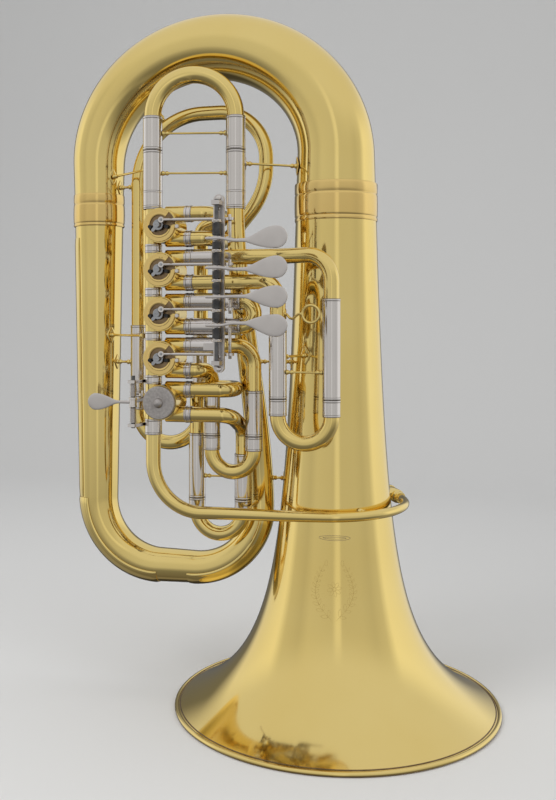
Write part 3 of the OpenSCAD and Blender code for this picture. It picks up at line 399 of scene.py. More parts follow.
v, f = sweep(P, np.linspace(inner_r_low, inner_r_top, k), 56, 0.8, T0=(0, 0, 1), T1=(0, 0, 1), up=V(0, 1, 0))
obj_from("inner_branch_tube", v, f, "lacquered_brass", replaces=("inner_branch",))

def guard_shell(P, R, gap, wall, a0, a1, n=72, up=V(0, 1, 0)):
    """Sheet with rounded edges that hugs part of a tube."""
    P, T, U, W = path_frames(P, up=up)
    R = np.broadcast_to(np.asarray(R, float), (len(P),))
    m = len(P)
    prof = []
    for j in range(n + 1):
        t = j / n; prof.append((a0 + (a1 - a0) * t, gap + wall * (1 - 0.55 * abs(2 * t - 1) ** 40 + 0.55 * math.exp(-((abs(2 * t - 1) - 0.93) / 0.035) ** 2))))
    for j in range(n, -1, -1):
        t = j / n; prof.append((a0 + (a1 - a0) * t, gap))
    w = len(prof)
    vs = []
    for i in range(m):
        e = 1.0 if 0 < i < m - 1 else 0.45
        for (a, h) in prof:
            a = math.radians(a)
            hh = gap + (h - gap) * e
            vs.append(P[i] + (R[i] + hh) * (math.cos(a) * W[i] + math.sin(a) * U[i]))
    fs = []
    for i in range(m - 1):
        for j in range(w):
            l = (j + 1) % w
            fs.append((i * w + j, (i + 1) * w + j, (i + 1) * w + l, i * w + l))
    q = (m - 1) * w
    for j in range(n):
        fs.append((j, j + 1, w - 2 - j, w - 1 - j))
        fs.append((q + j, q + w - 1 - j, q + w - 2 - j, q + j + 1))
    return vs, fs
g = Geo()
sel = [i for i, p in enumerate(LOW) if p[0] <= -branch_x + low_R + 0.1]
ga, gb = -78, 78
def facing(P, centre):
    Pp, T, U, W = path_frames(P, up=V(0, 1, 0))
    i = len(P) // 2
    return 0 if np.dot(W[i], Pp[i] - V(*centre)) > 0 else 180
c = (-branch_x + low_R, 0, low_z)
a = facing(LOW[sel], c)
v, f = guard_shell(LOW[sel], LOWR[sel], 0.15, 1.3, a + ga, a + gb); g.add(v, f)
sel2 = [i for i, p in enumerate(LOW) if p[0] >= -inner_x - low_R - 8 and p[2] < low_z - 12]
a = facing(LOW[sel2], (-inner_x - low_R, 0, low_z))
v, f = guard_shell(LOW[sel2], LOWR[sel2], 0.15, 1.3, a + ga, a + gb); g.add(v, f)
P = np.array([V(-branch_x, 0, z) for z in np.linspace(600, low_z + 0.6, 40)])
RR = [branch_r_low + (bow_r_left - branch_r_low) * (z - low_z) / (bow_z - low_z) for z in P[:, 2]]
a = facing(P, (0, 0, 400))
v, f = guard_shell(P, RR, 0.15, 0.9, a - 58, a + 58); g.add(v, f)
obj_from("guard_plates", g.v, g.f, "lacquered_brass", replaces=("bow_guards",), angle=50)

# gold brass ferrules with turned lines
def ferrule(x, ri, w, z0, z1, m0, m1):
    e = 1.1
    pts = [(ri, z0), (ri + w * .5, z0), (ri + w, z0 + e), (ri + w, m0 - 2.4), (ri + w * .35, m0 - 1.2), (ri + w * .35, m0 - .4), (ri + w, m0 + .6)]
    for i in range(1, 12):
        t = i / 12; pts.append((ri + w * (1.0 + 0.30 * math.sin(math.pi * t)), m0 + .6 + (m1 - m0 - 1.2) * t))
    pts += [(ri + w, m1 - .6), (ri + w * .35, m1 + .4), (ri + w * .35, m1 + 1.2), (ri + w, m1 + 2.4), (ri + w, z1 - e), (ri + w * .5, z1), (ri, z1)]
    return lathe(pts, (x, 0, 0), n=128)
g = Geo()
v, f = ferrule(0, bell_f(615) + 0.1, 0.95, 615, 663, 621, 648.5); g.add(v, f)
v, f = ferrule(-branch_x, 33.3, 0.9, 616, 659, 620.5, 645.5); g.add(v, f)
obj_from("ferrule_rings", g.v, g.f, "gold_brass", replaces=("bow_ferrules",), angle=30)

# ------------------------------------------------------------------ leadpipe and receiver
lead_R, lead_z, wrap_R, wrap_a = 62.0, 251.0, 90.0, 115.0
P = [V(line_x, -valve_y, 346.5), V(line_x, -valve_y, 330)]
P += [V(line_x + lead_R - lead_R * math.cos(a), -valve_y, lead_z + lead_R - lead_R * math.sin(a)) for a in np.linspace(0, math.pi / 2, 31)]
P += [V(line_x + lead_R + (-line_x - lead_R) * s, -valve_y - (wrap_R - valve_y) * smooth01(s), lead_z + 4 * s) for s in np.linspace(0, 1, 25)[1:]]
P += [V((wrap_R - 3 * s) * math.cos(math.radians(-90 + wrap_a * s)), (wrap_R - 3 * s) * math.sin(math.radians(-90 + wrap_a * s)), lead_z + 4 + 4 * s) for s in np.linspace(0, 1, 49)[1:]]
P = np.array(P)
L = np.concatenate([[0], np.cumsum(np.linalg.norm(np.diff(P, axis=0), axis=1))]); L /= L[-1]
R = np.interp(L, [0, 0.08, 0.62, 1.0], [9.3, 9.2, 6.1, 5.0])
end_dir = V(-math.sin(math.radians(wrap_a - 90)), math.cos(math.radians(wrap_a - 90)), 0)
v, f = sweep(P, R, 40, 0.8, T0=(0, 0, -1), T1=end_dir)
obj_from("leadpipe_tube", v, f, "lacquered_brass", replaces=("leadpipe",))
lead_end = P[-1]
# a thin collar where the leadpipe meets the receiver, and beads on the receiver
g = Geo()
for h in (1.2, 5.0):
    v, f = bead(lead_end + end_dir * h + end_dir * 2, end_dir, 7.0, 0.7, 0.9); g.add(v, f)
obj_from("receiver_beads", g.v, g.f, "lacquered_brass")

# ------------------------------------------------------------------ valve and slide tubing, smooth
g1 = tube_r - tube_wall
def pipe_piece(name, paths, node, mat="lacquered_brass", r=tube_r, wall=tube_wall, body="root", n=44):
    g = Geo()
    for p in paths:
        P = round_path(p)
        v, f = sweep(P, r, n, wall); g.add(v, f)
    return obj_from(name, g.v, g.f, mat, body=body, replaces=(node,))
zB, zC, zD, z5 = VZ[1], VZ[2], VZ[3], VZ[4]
pipe_piece("valve1_loop", [
    [(port_x + 45.1, -80, zD + port_off, 0), (-125, -80, zD + port_off, 12), (S1[1][0], S1[1][1], zD + port_off, 25), (S1[1][0], S1[1][1], 402.1, 0)],
    [(port_x + 9.1, -80, zD - port_off, 0), (-160, -80, zD - port_off, 11), (S1[0][0], S1[0][1], zD - port_off, 15.5), (S1[0][0], S1[0][1], 411.1, 0)]], "valve1_tubes")
pipe_piece("valve3_loop", [
    [(port_x + 38.1, -80, zB + port_off, 0), (-60, -80, zB + port_off, 40), (S3[1][0], S3[1][1], zB + port_off, 32), (S3[1][0], S3[1][1], 515.1, 0)],
    [(port_x + 11.1, -80, zB - port_off, 0), (-104, -80, zB - port_off, 40), (S3[0][0], S3[0][1], zB - port_off, 24), (S3[0][0], S3[0][1], 478.1, 0)]], "valve3_tubes")
y4 = S4[0][1]
pipe_piece("valve4_loop", [
    [(port_x + 9.1, -80, zA - port_off, 0), (-143, -80, zA - port_off, 16), (-143, y4, zA - port_off, 16), (-89, y4, 655, 90), (-89, y4, 761, 62), (S4[0][0], y4, 761, 90), (S4[0][0], y4, 483.1, 0)],
    [(port_x + 9.1, -80, zA + port_off, 0), (-143, -80, zA + port_off, 16), (-143, y4, zA + port_off, 14), (S4[1][0], y4, zA + port_off - 12, 15), (S4[1][0], y4, 470.1, 0)]], "valve4_tubes")
pipe_piece("valve5_loop", [
    [(port_x + 9.1, -80, z5 + port_off, 0), (-119, -80, z5 + port_off, 16), (-119, -35, z5 + port_off, 20), (S5[0][0], -35, z5 + port_off, 18), (S5[0][0], -35, 345.1, 0)],
    [(port_x + 9.1, -80, z5 - port_off, 0), (-118, -80, z5 - port_off, 16), (S5[1][0], -35, z5 - port_off - 20, 17), (S5[1][0], -35, 320.1, 0)]], "valve5_tubes")

def turned_brace(p, q, r=1.7, foot=3.6, foot_p=True, foot_q=True):
    """A brace rod turned with a foot, neck and ball at each end."""
    p, q = V(*p), V(*q)
    d = unit(q - p); Lh = np.linalg.norm(q - p)
    side = [(foot, 0.0), (foot, 1.0), (r + 1.3, 2.2), (r + 0.55, 3.4), (r + 1.25, 4.8), (r + 1.5, 5.8), (r + 1.25, 6.8), (r + 0.3, 8.2), (r, 9.2)]
    if Lh < 26:
        s = Lh / 26.0; side = [(a, b * s) for a, b in side]
    prof = [(0, 0.0)] + side + [(a, Lh - b) for a, b in reversed(side)] + [(0, Lh)]
    return lathe(prof, p, d, 28, closed_profile=False)

def low_bow_piece(name, S, node, body):
    (a, b, zj, fer) = S
    R = math.hypot(b[0] - a[0], b[1] - a[1]) / 2
    c = ((a[0] + b[0]) / 2, (a[1] + b[1]) / 2, zj - fer)
    u = unit((a[0] - b[0], a[1] - b[1], 0))
    P = arc_path(c, u, (0, 0, -1), R, 180, 72)
    P[0][2] -= 0.02; P[-1][2] -= 0.02
    g = Geo(); v, f = sweep(P, tube_r, 44, tube_wall, T0=(0, 0, -1), T1=(0, 0, 1), up=V(0, 1, 0)); g.add(v, f)
    obj_from(name, g.v, g.f, "lacquered_brass", body=body, replaces=(node,))
    # ring lines of the moving ferrules: raised beads, and thin dark rings beside them as painted shade
    g = Geo(); gd = Geo()
    for p in (a, b):
        for z, h in ((zj - fer + 1.5, 0.45), (zj - 1.5, 0.45)):
            v, f = bead((p[0], p[1], z), (0, 0, 1), sleeve_r - 0.1, h, 0.8); g.add(v, f)
            for e in (-1.25, 1.25):
                v, f = line_ring((p[0], p[1], z + e), (0, 0, 1), sleeve_r); gd.add(v, f)
    obj_from(name + "_rings", g.v, g.f, "nickel_silver", body=body)
    obj_from(name + "_lines", gd.v, gd.f, "line_shade", body=body)
low_bow_piece("slide_1_crook", S1, "slide_1_bow", "slide_1_body")
low_bow_piece("slide_3_crook", S3, "slide_3_bow", "slide_3_body")
low_bow_piece("slide_4_crook", S4, "slide_4_bow", "slide_4_body")
low_bow_piece("slide_5_crook", S5, "slide_5_bow", "slide_5_body")
P = arc_path((-103.95, -valve_y, zC), (0, 0, -1), (1, 0, 0), port_off, 180, 60)
v, f = sweep(P, tube_r, 44, tube_wall, T0=(1, 0, 0), T1=(-1, 0, 0), up=V(0, 1, 0))
obj_from("slide_2_crook", v, f, "lacquered_brass", body="slide_2_body", replaces=("slide_2_bow",))
# ring lines of slide 2: raised beads, and thin dark rings beside them as painted shade
g = Geo(); gd = Geo()
for s in (-1, 1):
    for x in (-105.6, -123.4):
        v, f = bead((x, -valve_y, zC + s * port_off), (1, 0, 0), sleeve_r - 0.1, 0.45, 0.8); g.add(v, f)
        for e in (-1.25, 1.25):
            v, f = line_ring((x + e, -valve_y, zC + s * port_off), (1, 0, 0), sleeve_r); gd.add(v, f)
obj_from("slide_2_rings", g.v, g.f, "nickel_silver", body="slide_2_body")
obj_from("slide_2_lines", gd.v, gd.f, "line_shade", body="slide_2_body")

# main tuning slide
R = math.hypot(mR[0] - mL[0], mR[1] - mL[1]) / 2
cxm, cym = (mL[0] + mR[0]) / 2, (mL[1] + mR[1]) / 2
u = unit((mL[0] - mR[0], mL[1] - mR[1], 0))
P = arc_path((cxm, cym, 745.05), u, (0, 0, 1), R, 180, 84)
g = Geo()
v, f = sweep(P, 10.7, 52, 0.7, T0=(0, 0, 1), T1=(0, 0, -1)); g.add(v, f)
v, f = turned_brace((mL[0] + 12.25, mL[1] + 2.4, 724), (mR[0] - 12.25, mR[1] - 2.4, 724), 1.3); g.add(v, f)
obj_from("main_slide_crook", g.v, g.f, "lacquered_brass", body="main_slide_body", replaces=("main_slide_bow",))
# ring lines of the main slide: raised beads, and thin dark rings beside them as painted shade
g = Geo(); gd = Geo()
for p in (mL, mR):
    for z, h in ((743.0, 0.5), (704.3, 0.5)):
        v, f = bead((p[0], p[1], z), (0, 0, 1), main_sleeve_r - 0.1, h, 0.9, 64); g.add(v, f)
        for e in (-1.4, 1.4):
            v, f = line_ring((p[0], p[1], z + e), (0, 0, 1), main_sleeve_r); gd.add(v, f)
obj_from("main_slide_rings", g.v, g.f, "nickel_silver", body="main_slide_body")
obj_from("main_slide_lines", gd.v, gd.f, "line_shade", body="main_slide_body")
# ring lines on the fixed sleeves: raised beads, and thin dark rings beside them as painted shade
g = Geo(); gd = Geo()
for p in (mL, mR):
    for z in (700.2, 650.0, 631.5):
        v, f = bead((p[0], p[1], z), (0, 0, 1), main_sleeve_r - 0.1, 0.5, 0.9, 64); g.add(v, f)
        for e in ((-1.4, 1.4) if z != 650.0 else (1.4,)):
            v, f = line_ring((p[0], p[1], z + e), (0, 0, 1), main_sleeve_r); gd.add(v, f)
for S, tl, tr in ((S1, 411, 402), (S3, 478, 515), (S4, 483, 470), (S5, 345, 320)):
    for p, top in ((S[0], tl), (S[1], tr)):
        for z in (S[2] + 1.8, top - 1.6):
            v, f = bead((p[0], p[1], z), (0, 0, 1), sleeve_r - 0.1, 0.45, 0.8); g.add(v, f)
            for e in (-1.25, 1.25):
                v, f = line_ring((p[0], p[1], z + e), (0, 0, 1), sleeve_r); gd.add(v, f)
for s in (-1, 1):
    for x in (-127.2, -168.0, -174.0):
        v, f = bead((x, -valve_y, zC + s * port_off), (1, 0, 0), sleeve_r - 0.1, 0.45, 0.8); g.add(v, f)
        for e in (-1.25, 1.25):
            v, f = line_ring((x + e, -valve_y, zC + s * port_off), (1, 0, 0), sleeve_r); gd.add(v, f)
# port ferrules and the line between the valves
for z, ln in ((zA + port_off, 9), (zA - port_off, 9), (zB + port_off, 38), (zB - port_off, 11), (zD + port_off, 45),
              (zD - port_off, 9), (z5 + port_off, 9), (z5 - port_off, 9)):
    xs_ = [port_x + 1.9, port_x + ln - 1.9] + ([port_x + 8.2] if ln > 20 else [])
    for x in xs_:
        v, f = bead((x, -valve_y, z), (1, 0, 0), 10.3, 0.4, 0.75); g.add(v, f)
        v, f = line_ring((x + 1.2, -valve_y, z), (1, 0, 0), 10.4); gd.add(v, f)
for i in range(5):
    zt = VZ[i] - stub - 0.05
    zb = VZ[i + 1] + stub + 0.05 if i < 4 else 347.0
    for z in (zt - 1.5, zb + 1.5):
        v, f = bead((line_x, -valve_y, z), (0, 0, 1), 10.7, 0.4, 0.75); g.add(v, f)
        v, f = line_ring((line_x, -valve_y, z + (1.1 if z < zt - 2 else -1.1)), (0, 0, 1), 10.8); gd.add(v, f)
obj_from("sleeve_rings", g.v, g.f, "nickel_silver")
obj_from("sleeve_lines", gd.v, gd.f, "line_shade")

# ------------------------------------------------------------------ braces and their feet
def saddle(axis_p, axis_d, r, toward, la, lb, th=1.0, n=14, diamond=True):
    """A small plate bent round a tube: axis through axis_p along axis_d, radius r, centred toward a point."""
    d = unit(axis_d); p0 = V(*axis_p); t = V(*toward)
    c = p0 + d * np.dot(t - p0, d)
    nrm = unit(t - c); w = np.cross(d, nrm)
    m = 4 * n
    rings = []
    for k in range(m):
        a = 2 * math.pi * k / m
        e = 2.0 / (1.25 if diamond else 2.0)
        ca, sa = math.cos(a), math.sin(a)
        rings.append((la * math.copysign(abs(ca) ** e, ca), lb * math.copysign(abs(sa) ** e, sa)))
    vs, fs = [], []
    def pt(x, y, h):
        ang = y / r
        return c + d * x + (r + h) * (math.cos(ang) * nrm + math.sin(ang) * w)
    levels = [(1.0, 0.05), (1.0, th * 0.6), (0.93, th), (0.6, th * 1.1), (0.3, th * 1.15)]
    for sc, h in levels:
        for (x, y) in rings: vs.append(pt(x * sc, y * sc, h))
    ctr = len(vs); vs.append(pt(0, 0, th * 1.15))
    for i in range(len(levels) - 1):
        for k in range(m):
            l = (k + 1) % m
            fs.append((i * m + k, i * m + l, (i + 1) * m + l, (i + 1) * m + k))
    q = (len(levels) - 1) * m
    for k in range(m): fs.append((q + k, q + (k + 1) % m, ctr))
    b0 = len(vs)
    for sc in (0.6, 0.3):
        for (x, y) in rings: vs.append(pt(x * sc, y * sc, 0.05))
    cb = len(vs); vs.append(pt(0, 0, 0.05))
    for k in range(m):
        l = (k + 1) % m
        fs.append((k, b0 + k, b0 + l, l))
        fs.append((b0 + k, b0 + m + k, b0 + m + l, b0 + l))
        fs.append((b0 + m + k, cb, b0 + m + l))
    return vs, fs

g = Geo(); gs = Geo()
Z = (0, 0, 1)
def branch_r(z): return branch_r_low + (bow_r_left - branch_r_low) * (z - low_z) / (bow_z - low_z)
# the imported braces' end points
BR = [((-294.9, -20.7, 681), (-230.3, -73.6, 680)), ((-105.8, -54.3, 686), (-47.8, -19.25, 686)),
      ((-229, -11.4, 754.1), (-242.6, -7.1, 785)), ((-273.1, -10.2, 668), (-291.1, -7, 668)),
      ((-274.3, -10.1, 434), (-296.4, -5.8, 434)), ((-231.1, -80.6, 470.1), (-300.3, -17, 470.1)),
      ((-82.1, 0, 285), (-67.8, 0, 285)), ((-93.3, -26.2, 437), (-54.55, -21.1, 437)),
      ((-47.4, -94.8, 446), (-31.05, -49.2, 446)), ((46.2, -68.6, 258.5), (38.2, -59.35, 258.5)),
      ((-104, -75.2, 252.5), (-100.5, -19, 256))]
for p, q in BR:
    v, f = turned_brace(p, q, 1.5 if np.linalg.norm(V(*p) - V(*q)) > 30 else 1.7, 3.2); g.add(v, f)
def sad(geo, *a, **k):
    v, f = saddle(*a, **k); geo.add(v, f)
sad(g, (-branch_x, 0, 681), Z, 33.4, (-294.5, -21, 681), 11, 6.5)
sad(gs, (mL[0], mL[1], 680), Z, main_sleeve_r, (-229.6, -74.2, 680), 8, 5)
sad(gs, (mR[0], mR[1], 686), Z, main_sleeve_r, (-105.6, -54.2, 686), 8, 5)
sad(g, (0, 0, 686), Z, bell_f(bow_z) - 0.3, (-48.2, -19.5, 686), 12, 8)
sad(g, (S4[0][0], y4, 668), Z, tube_r, (-291, -7, 668), 8, 5)
sad(g, (S4[0][0], y4, 434), Z, sleeve_r, (-291, -7, 434), 8, 5)
sad(g, (-branch_x, 0, 668), Z, 33.3, (-291.2, -7, 668), 10, 6)
sad(g, (-branch_x, 0, 434), Z, branch_r(434), (-295.2, -6, 434), 10, 6)
sad(g, (-branch_x, 0, 470), Z, branch_r(470), (-299.8, -17.5, 470.1), 11, 7)
sad(gs, (line_x, -valve_y, 470.1), Z, 10.8, (-299.8, -17.5, 470.1), 6, 4)
sad(g, (0, 0, 285), Z, bell_f(285) + .1, (-68.3, 0, 285), 9, 6)
sad(g, (0, 0, 437), Z, bell_f(437) + .1, (-54, -21, 437), 9, 6)
sad(g, (0, 0, 446), Z, bell_f(446) + .1, (-31.5, -50.5, 446), 12, 8)
sad(gs, (S3[0][0], S3[0][1], 446), Z, sleeve_r, (-31.5, -50.5, 446), 7, 4.5)
obj_from("brace_set", g.v, g.f, "lacquered_brass", replaces=("body_braces",), angle=45)
outward(obj_from("brace_feet", gs.v, gs.f, "nickel_silver", angle=45))

g = Geo()
for p, q in (((mL[0] + 12.1, mL[1] + 2.4, 674), (mR[0] - 12.1, mR[1] - 2.4, 674)),
             ((S3[0][0] + 10.75, -104, 428), (S3[1][0] - 10.75, -104, 428)),
             ((S5[0][0] + 10.75, -35, 290), (S5[1][0] - 10.75, -35, 290))):
    v, f = turned_brace(p, q, 1.3, 3.0); g.add(v, f)
obj_from("slide_brace_rods", g.v, g.f, "lacquered_brass", replaces=("slide_braces",), angle=45)
g = Geo()
P = round_path([(-42.9, -104, 497, 0), (-36, -108, 490, 6), (-27, -113, 497, 6), (-22.2, -113, 497, 0)], 6, 4)
v, f = sweep(P, 1.5, 20); g.add(v, f)
v, f = torus((-12, -113, 497), (0, 1, 0), 10.2, 1.7, 72, 20); g.add(v, f)
sad(g, (S3[0][0], S3[0][1], 497), Z, tube_r, (-42.9, -104, 497), 6, 4)
obj_from("finger_ring_wire", g.v, g.f, "lacquered_brass")

# ------------------------------------------------------------------ action: springs, collars, screws, paddles
g = Geo()
for i in range(4):
    for z0, z1 in ((HUB[i] + 3.3, COLLAR[i] - 1.8), (COLLAR[i + 1] + 1.8, HUB[i] - 3.3)):
        r, wr = 4.7, 0.6
        turns = (z1 - z0 - 2 * wr) / (wr * 2.06)
        k = int(turns * 22)
        t = np.linspace(0, 1, k)
        P = np.stack([-axle_x + r * np.cos(2 * math.pi * turns * t), -axle_y + r * np.sin(2 * math.pi * turns * t), z0 + wr + (z1 - z0 - 2 * wr) * t], 1)
        v, f = sweep(P, wr, 8, up=V(0, 0, 1)); g.add(v, f)
obj_from("paddle_spring_coils", g.v, g.f, "dark_steel", replaces=("paddle_springs",), angle=60)

def screw_head(c, n, r, h, slot_w=0.7, slot_d=0.8, mat_n=32, turn=20):
    """A domed screw head on a face with outward normal n."""
    prof = [(0, 0), (r * 0.96, 0), (r, h * 0.25), (r * 0.97, h * 0.55), (r * 0.8, h * 0.85), (r * 0.45, h), (0, h * 1.03)]
    return lathe(prof, c, n, mat_n, closed_profile=False)
g = Geo()
for z in (432.0, 634.0):
    v, f = screw_head((-axle_x, -axle_y + 9, z), (0, -1, 0), 3.1, 1.5); g.add(v, f)
for z in (446.5, 621.5):
    v, f = screw_head((-axle_x, -axle_y + 9, z), (0, -1, 0), 2.2, 1.1); g.add(v, f)
obj_from("carrier_screws", g.v, g.f, "nickel_silver", angle=50)

half = math.radians(8.25)
ddx, ddy = drive * math.sin(half), drive * math.cos(half)
def box_geo(lo, hi, rot=0.0, at=(0, 0, 0)):
    (x0, y0, z0), (x1, y1, z1) = lo, hi
    vs = [V(x, y, z) for z in (z0, z1) for y in (y0, y1) for x in (x0, x1)]
    c, s = math.cos(math.radians(rot)), math.sin(math.radians(rot))
    vs = [V(at[0] + p[0] * c - p[1] * s, at[1] + p[0] * s + p[1] * c, at[2] + p[2]) for p in vs]
    fs = [(0, 2, 3, 1), (4, 5, 7, 6), (0, 1, 5, 4), (2, 6, 7, 3), (0, 4, 6, 2), (1, 3, 7, 5)]
    return vs, fs

def ribbon(sections, n=28, e=0.55):
    """A blade through sections (x, y, z, half thickness in Y, half height in Z), with rounded edges and closed ends."""
    vs, fs = [], []
    for (x, y, z, t, w) in sections:
        for j in range(n):
            a = 2 * math.pi * j / n
            c, s_ = math.cos(a), math.sin(a)
            vs.append(V(x, y + t * math.copysign(abs(s_) ** e, s_), z + w * c))
    m = len(sections)
    for i in range(m - 1):
        for j in range(n):
            l = (j + 1) % n
            fs.append((i * n + j, (i + 1) * n + j, (i + 1) * n + l, i * n + l))
    fs.append(tuple(range(n))); fs.append(tuple((m - 1) * n + j for j in range(n - 1, -1, -1)))
    return vs, fs

def bar(path, t, w, n=20, up=V(0, 0, 1), e=0.5):
    """A flat bar along a path: half thickness t across, half width w along up, rounded edges."""
    P = np.asarray(path, float)
    _, T, U, W = path_frames(P, up=up)
    vs, fs = [], []
    for i in range(len(P)):
        k = 1.0 if 0 < i < len(P) - 1 else 0.9
        for j in range(n):
            a = 2 * math.pi * j / n
            c, s_ = math.cos(a), math.sin(a)
            vs.append(P[i] + U[i] * k * w * math.copysign(abs(c) ** e, c) + W[i] * k * t * math.copysign(abs(s_) ** e, s_))
    for i in range(len(P) - 1):
        for j in range(n):
            l = (j + 1) % n
            fs.append((i * n + j, i * n + l, (i + 1) * n + l, (i + 1) * n + j))
    fs.append(tuple(range(n - 1, -1, -1))); fs.append(tuple((len(P) - 1) * n + j for j in range(n)))
    return vs, fs

def blade(x_end, xc, w, neck_x, dz, y, s=1, x_start=-12, t=1.0):
    """Sections of a lever strip that widens into a round touch; dz is how far the neck sits below the hub."""
    out = []
    xs = [x_start + 0.15, x_start + 0.5, x_start + 1.2, x_start + 2.2] + list(np.linspace(x_start + 4, neck_x, 16)[:-1]) \
        + list(np.linspace(neck_x, xc, 26)[:-1]) + list(xc + (x_end - xc) * np.sin(np.linspace(0, math.pi / 2, 22)))
    for x in xs:
        if x <= neck_x:
            q = min(1.0, (x - x_start) / 2.2)
            h = 1.75 * math.sqrt(max(0.02, 1 - (1 - q) ** 2)) + 0.45 * smooth01(max(0, (x - 18) / (neck_x - 18)))
        elif x <= xc:
            u = (x - neck_x) / (xc - neck_x)
            h = 2.2 + (w - 2.2) * math.sin(math.pi / 2 * u) ** 1.25
        else:
            h = w * math.sqrt(max(0.0, 1 - ((x - xc) / (x_end - xc)) ** 2))
        th = 1.3 + (t - 1.3) * smooth01(max(0.0, min(1.0, (x - 10) / (neck_x - 10))))
        th *= min(1.0, max(h, 0.02) / 1.6) ** 0.5
        z = -dz * smooth01(max(0.0, min(1.0, (x - 4) / 20))) + dz * smooth01(max(0.0, min(1.0, (x - neck_x - 2) / (xc - neck_x - 2))))
        out.append((s * x, y, z, th, max(h, 0.05)))
    return out

for i, (body, dz) in enumerate((("paddle_4", 3.0), ("paddle_3", 2.2), ("paddle_2", -0.4), ("paddle_1", -2.6))):
    O = V(-axle_x, -axle_y, HUB[i])
    zr = VZ[i] + rod_dz - HUB[i]
    g = Geo()
    v, f = ribbon(blade(86, 73, 13, 36, dz, -6.9)); g.add([O + p for p in v], f)
    obj_from(body + "_blade", g.v, g.f, "satin_nickel", body=body + "_body", replaces=(body,), angle=42)
    g = Geo()
    v, f = lathe([(2.56, -3), (4.6, -3), (5.0, -2.6), (5.0, 2.6), (4.6, 3), (2.56, 3)], O, Z, 48); g.add(v, f)
    v, f = bar([O + V(0, -7.4, 0), O + V(0, -5.6, 0), O + V(0, -3.4, 0)], 3.3, 2.8); g.add(v, f)
    P = round_path([(15, -6.9, 0, 0), (15, 30.5, 0, 5), (ddx, ddy, 0, 0)], 8, 6)
    v, f = bar([O + p for p in P], 1.9, 1.8); g.add(v, f)
    z0, z1 = min(-2.0, zr - 5.5), max(2.0, zr + 5.5)
    v, f = lathe([(0, z0), (1.7, z0), (2.0, z0 + .4), (2.0, z1 - .4), (1.7, z1), (0, z1)], O + V(ddx, ddy, 0), Z, 28, closed_profile=False); g.add(v, f)
    v, f = lathe([(0, -2.1), (2.9, -2.1), (3.3, -1.7), (3.3, 1.7), (2.9, 2.1), (0, 2.1)], O + V(ddx, ddy, 0), Z, 32, closed_profile=False); g.add(v, f)
    obj_from(body + "_arm", g.v, g.f, "nickel_silver", body=body + "_body", angle=42)

# axle collars as turned rings with a groove
g = Geo()
for z in COLLAR:
    v, f = lathe([(2.56, -1.5), (5.5, -1.5), (6.0, -1.0), (6.0, -.35), (5.6, 0), (6.0, .35), (6.0, 1.0), (5.5, 1.5), (2.56, 1.5)], (-axle_x, -axle_y, z), Z, 48); g.add(v, f)
obj_from("collar_rings", g.v, g.f, "nickel_silver", replaces=("axle_collars",), angle=30)

# thumb lever touch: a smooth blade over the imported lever
O = V(-thumb_x, -thumb_y, 388)
g = Geo()
ta = math.atan2(50 * math.cos(math.radians(6.5)), -50 * math.sin(math.radians(6.5)))
tdx, tdy = 50 * math.cos(ta), 50 * math.sin(ta)
v, f = ribbon(blade(60, 49.5, 10.5, 22, 0.0, 0.0, s=-1, x_start=-1)); g.add([O + p for p in v], [tuple(reversed(q)) for q in f])
obj_from("thumb_blade", g.v, g.f, "satin_nickel", body="thumb_lever_body", replaces=("thumb_lever",), angle=42)
g = Geo()
v, f = lathe([(2.56, -6), (4.5, -6), (5.0, -5.5), (5.0, -3.4), (4.5, -3), (4.5, 3), (5, 3.4), (5.0, 5.5), (4.5, 6), (2.56, 6)], O, Z, 48); g.add(v, f)
P = [O + V(tdx, tdy, 0) * (0.05 + 0.95 * k / 8) for k in range(9)]
v, f = bar(P, 1.9, 1.9); g.add(v, f)
z5r = z5 + rod_dz - 388
v, f = lathe([(0, -2), (1.7, -2), (2.0, -1.6), (2.0, z5r + 4.6), (1.7, z5r + 5), (0, z5r + 5)], O + V(tdx, tdy, 0), Z, 28, closed_profile=False); g.add(v, f)
v, f = lathe([(0, -2.1), (2.9, -2.1), (3.3, -1.7), (3.3, 1.7), (2.9, 2.1), (0, 2.1)], O + V(tdx, tdy, 0), Z, 32, closed_profile=False); g.add(v, f)
obj_from("thumb_lever_arm", g.v, g.f, "nickel_silver", body="thumb_lever_body", angle=42)
# springs on the thumb axle, either side of the hub
g = Geo()
for z0, z1 in ((362.0, 381.6), (394.4, 411.2)):
    r, wr = 3.5, 0.55
    turns = (z1 - z0 - 2 * wr) / (wr * 2.15); k = int(turns * 20)
    t = np.linspace(0, 1, k)
    P = np.stack([-thumb_x + r * np.cos(2 * math.pi * turns * t), -thumb_y + r * np.sin(2 * math.pi * turns * t), z0 + wr + (z1 - z0 - 2 * wr) * t], 1)
    v, f = sweep(P, wr, 8, up=V(0, 0, 1)); g.add(v, f)
obj_from("thumb_spring_coils", g.v, g.f, "nickel_silver", angle=60)

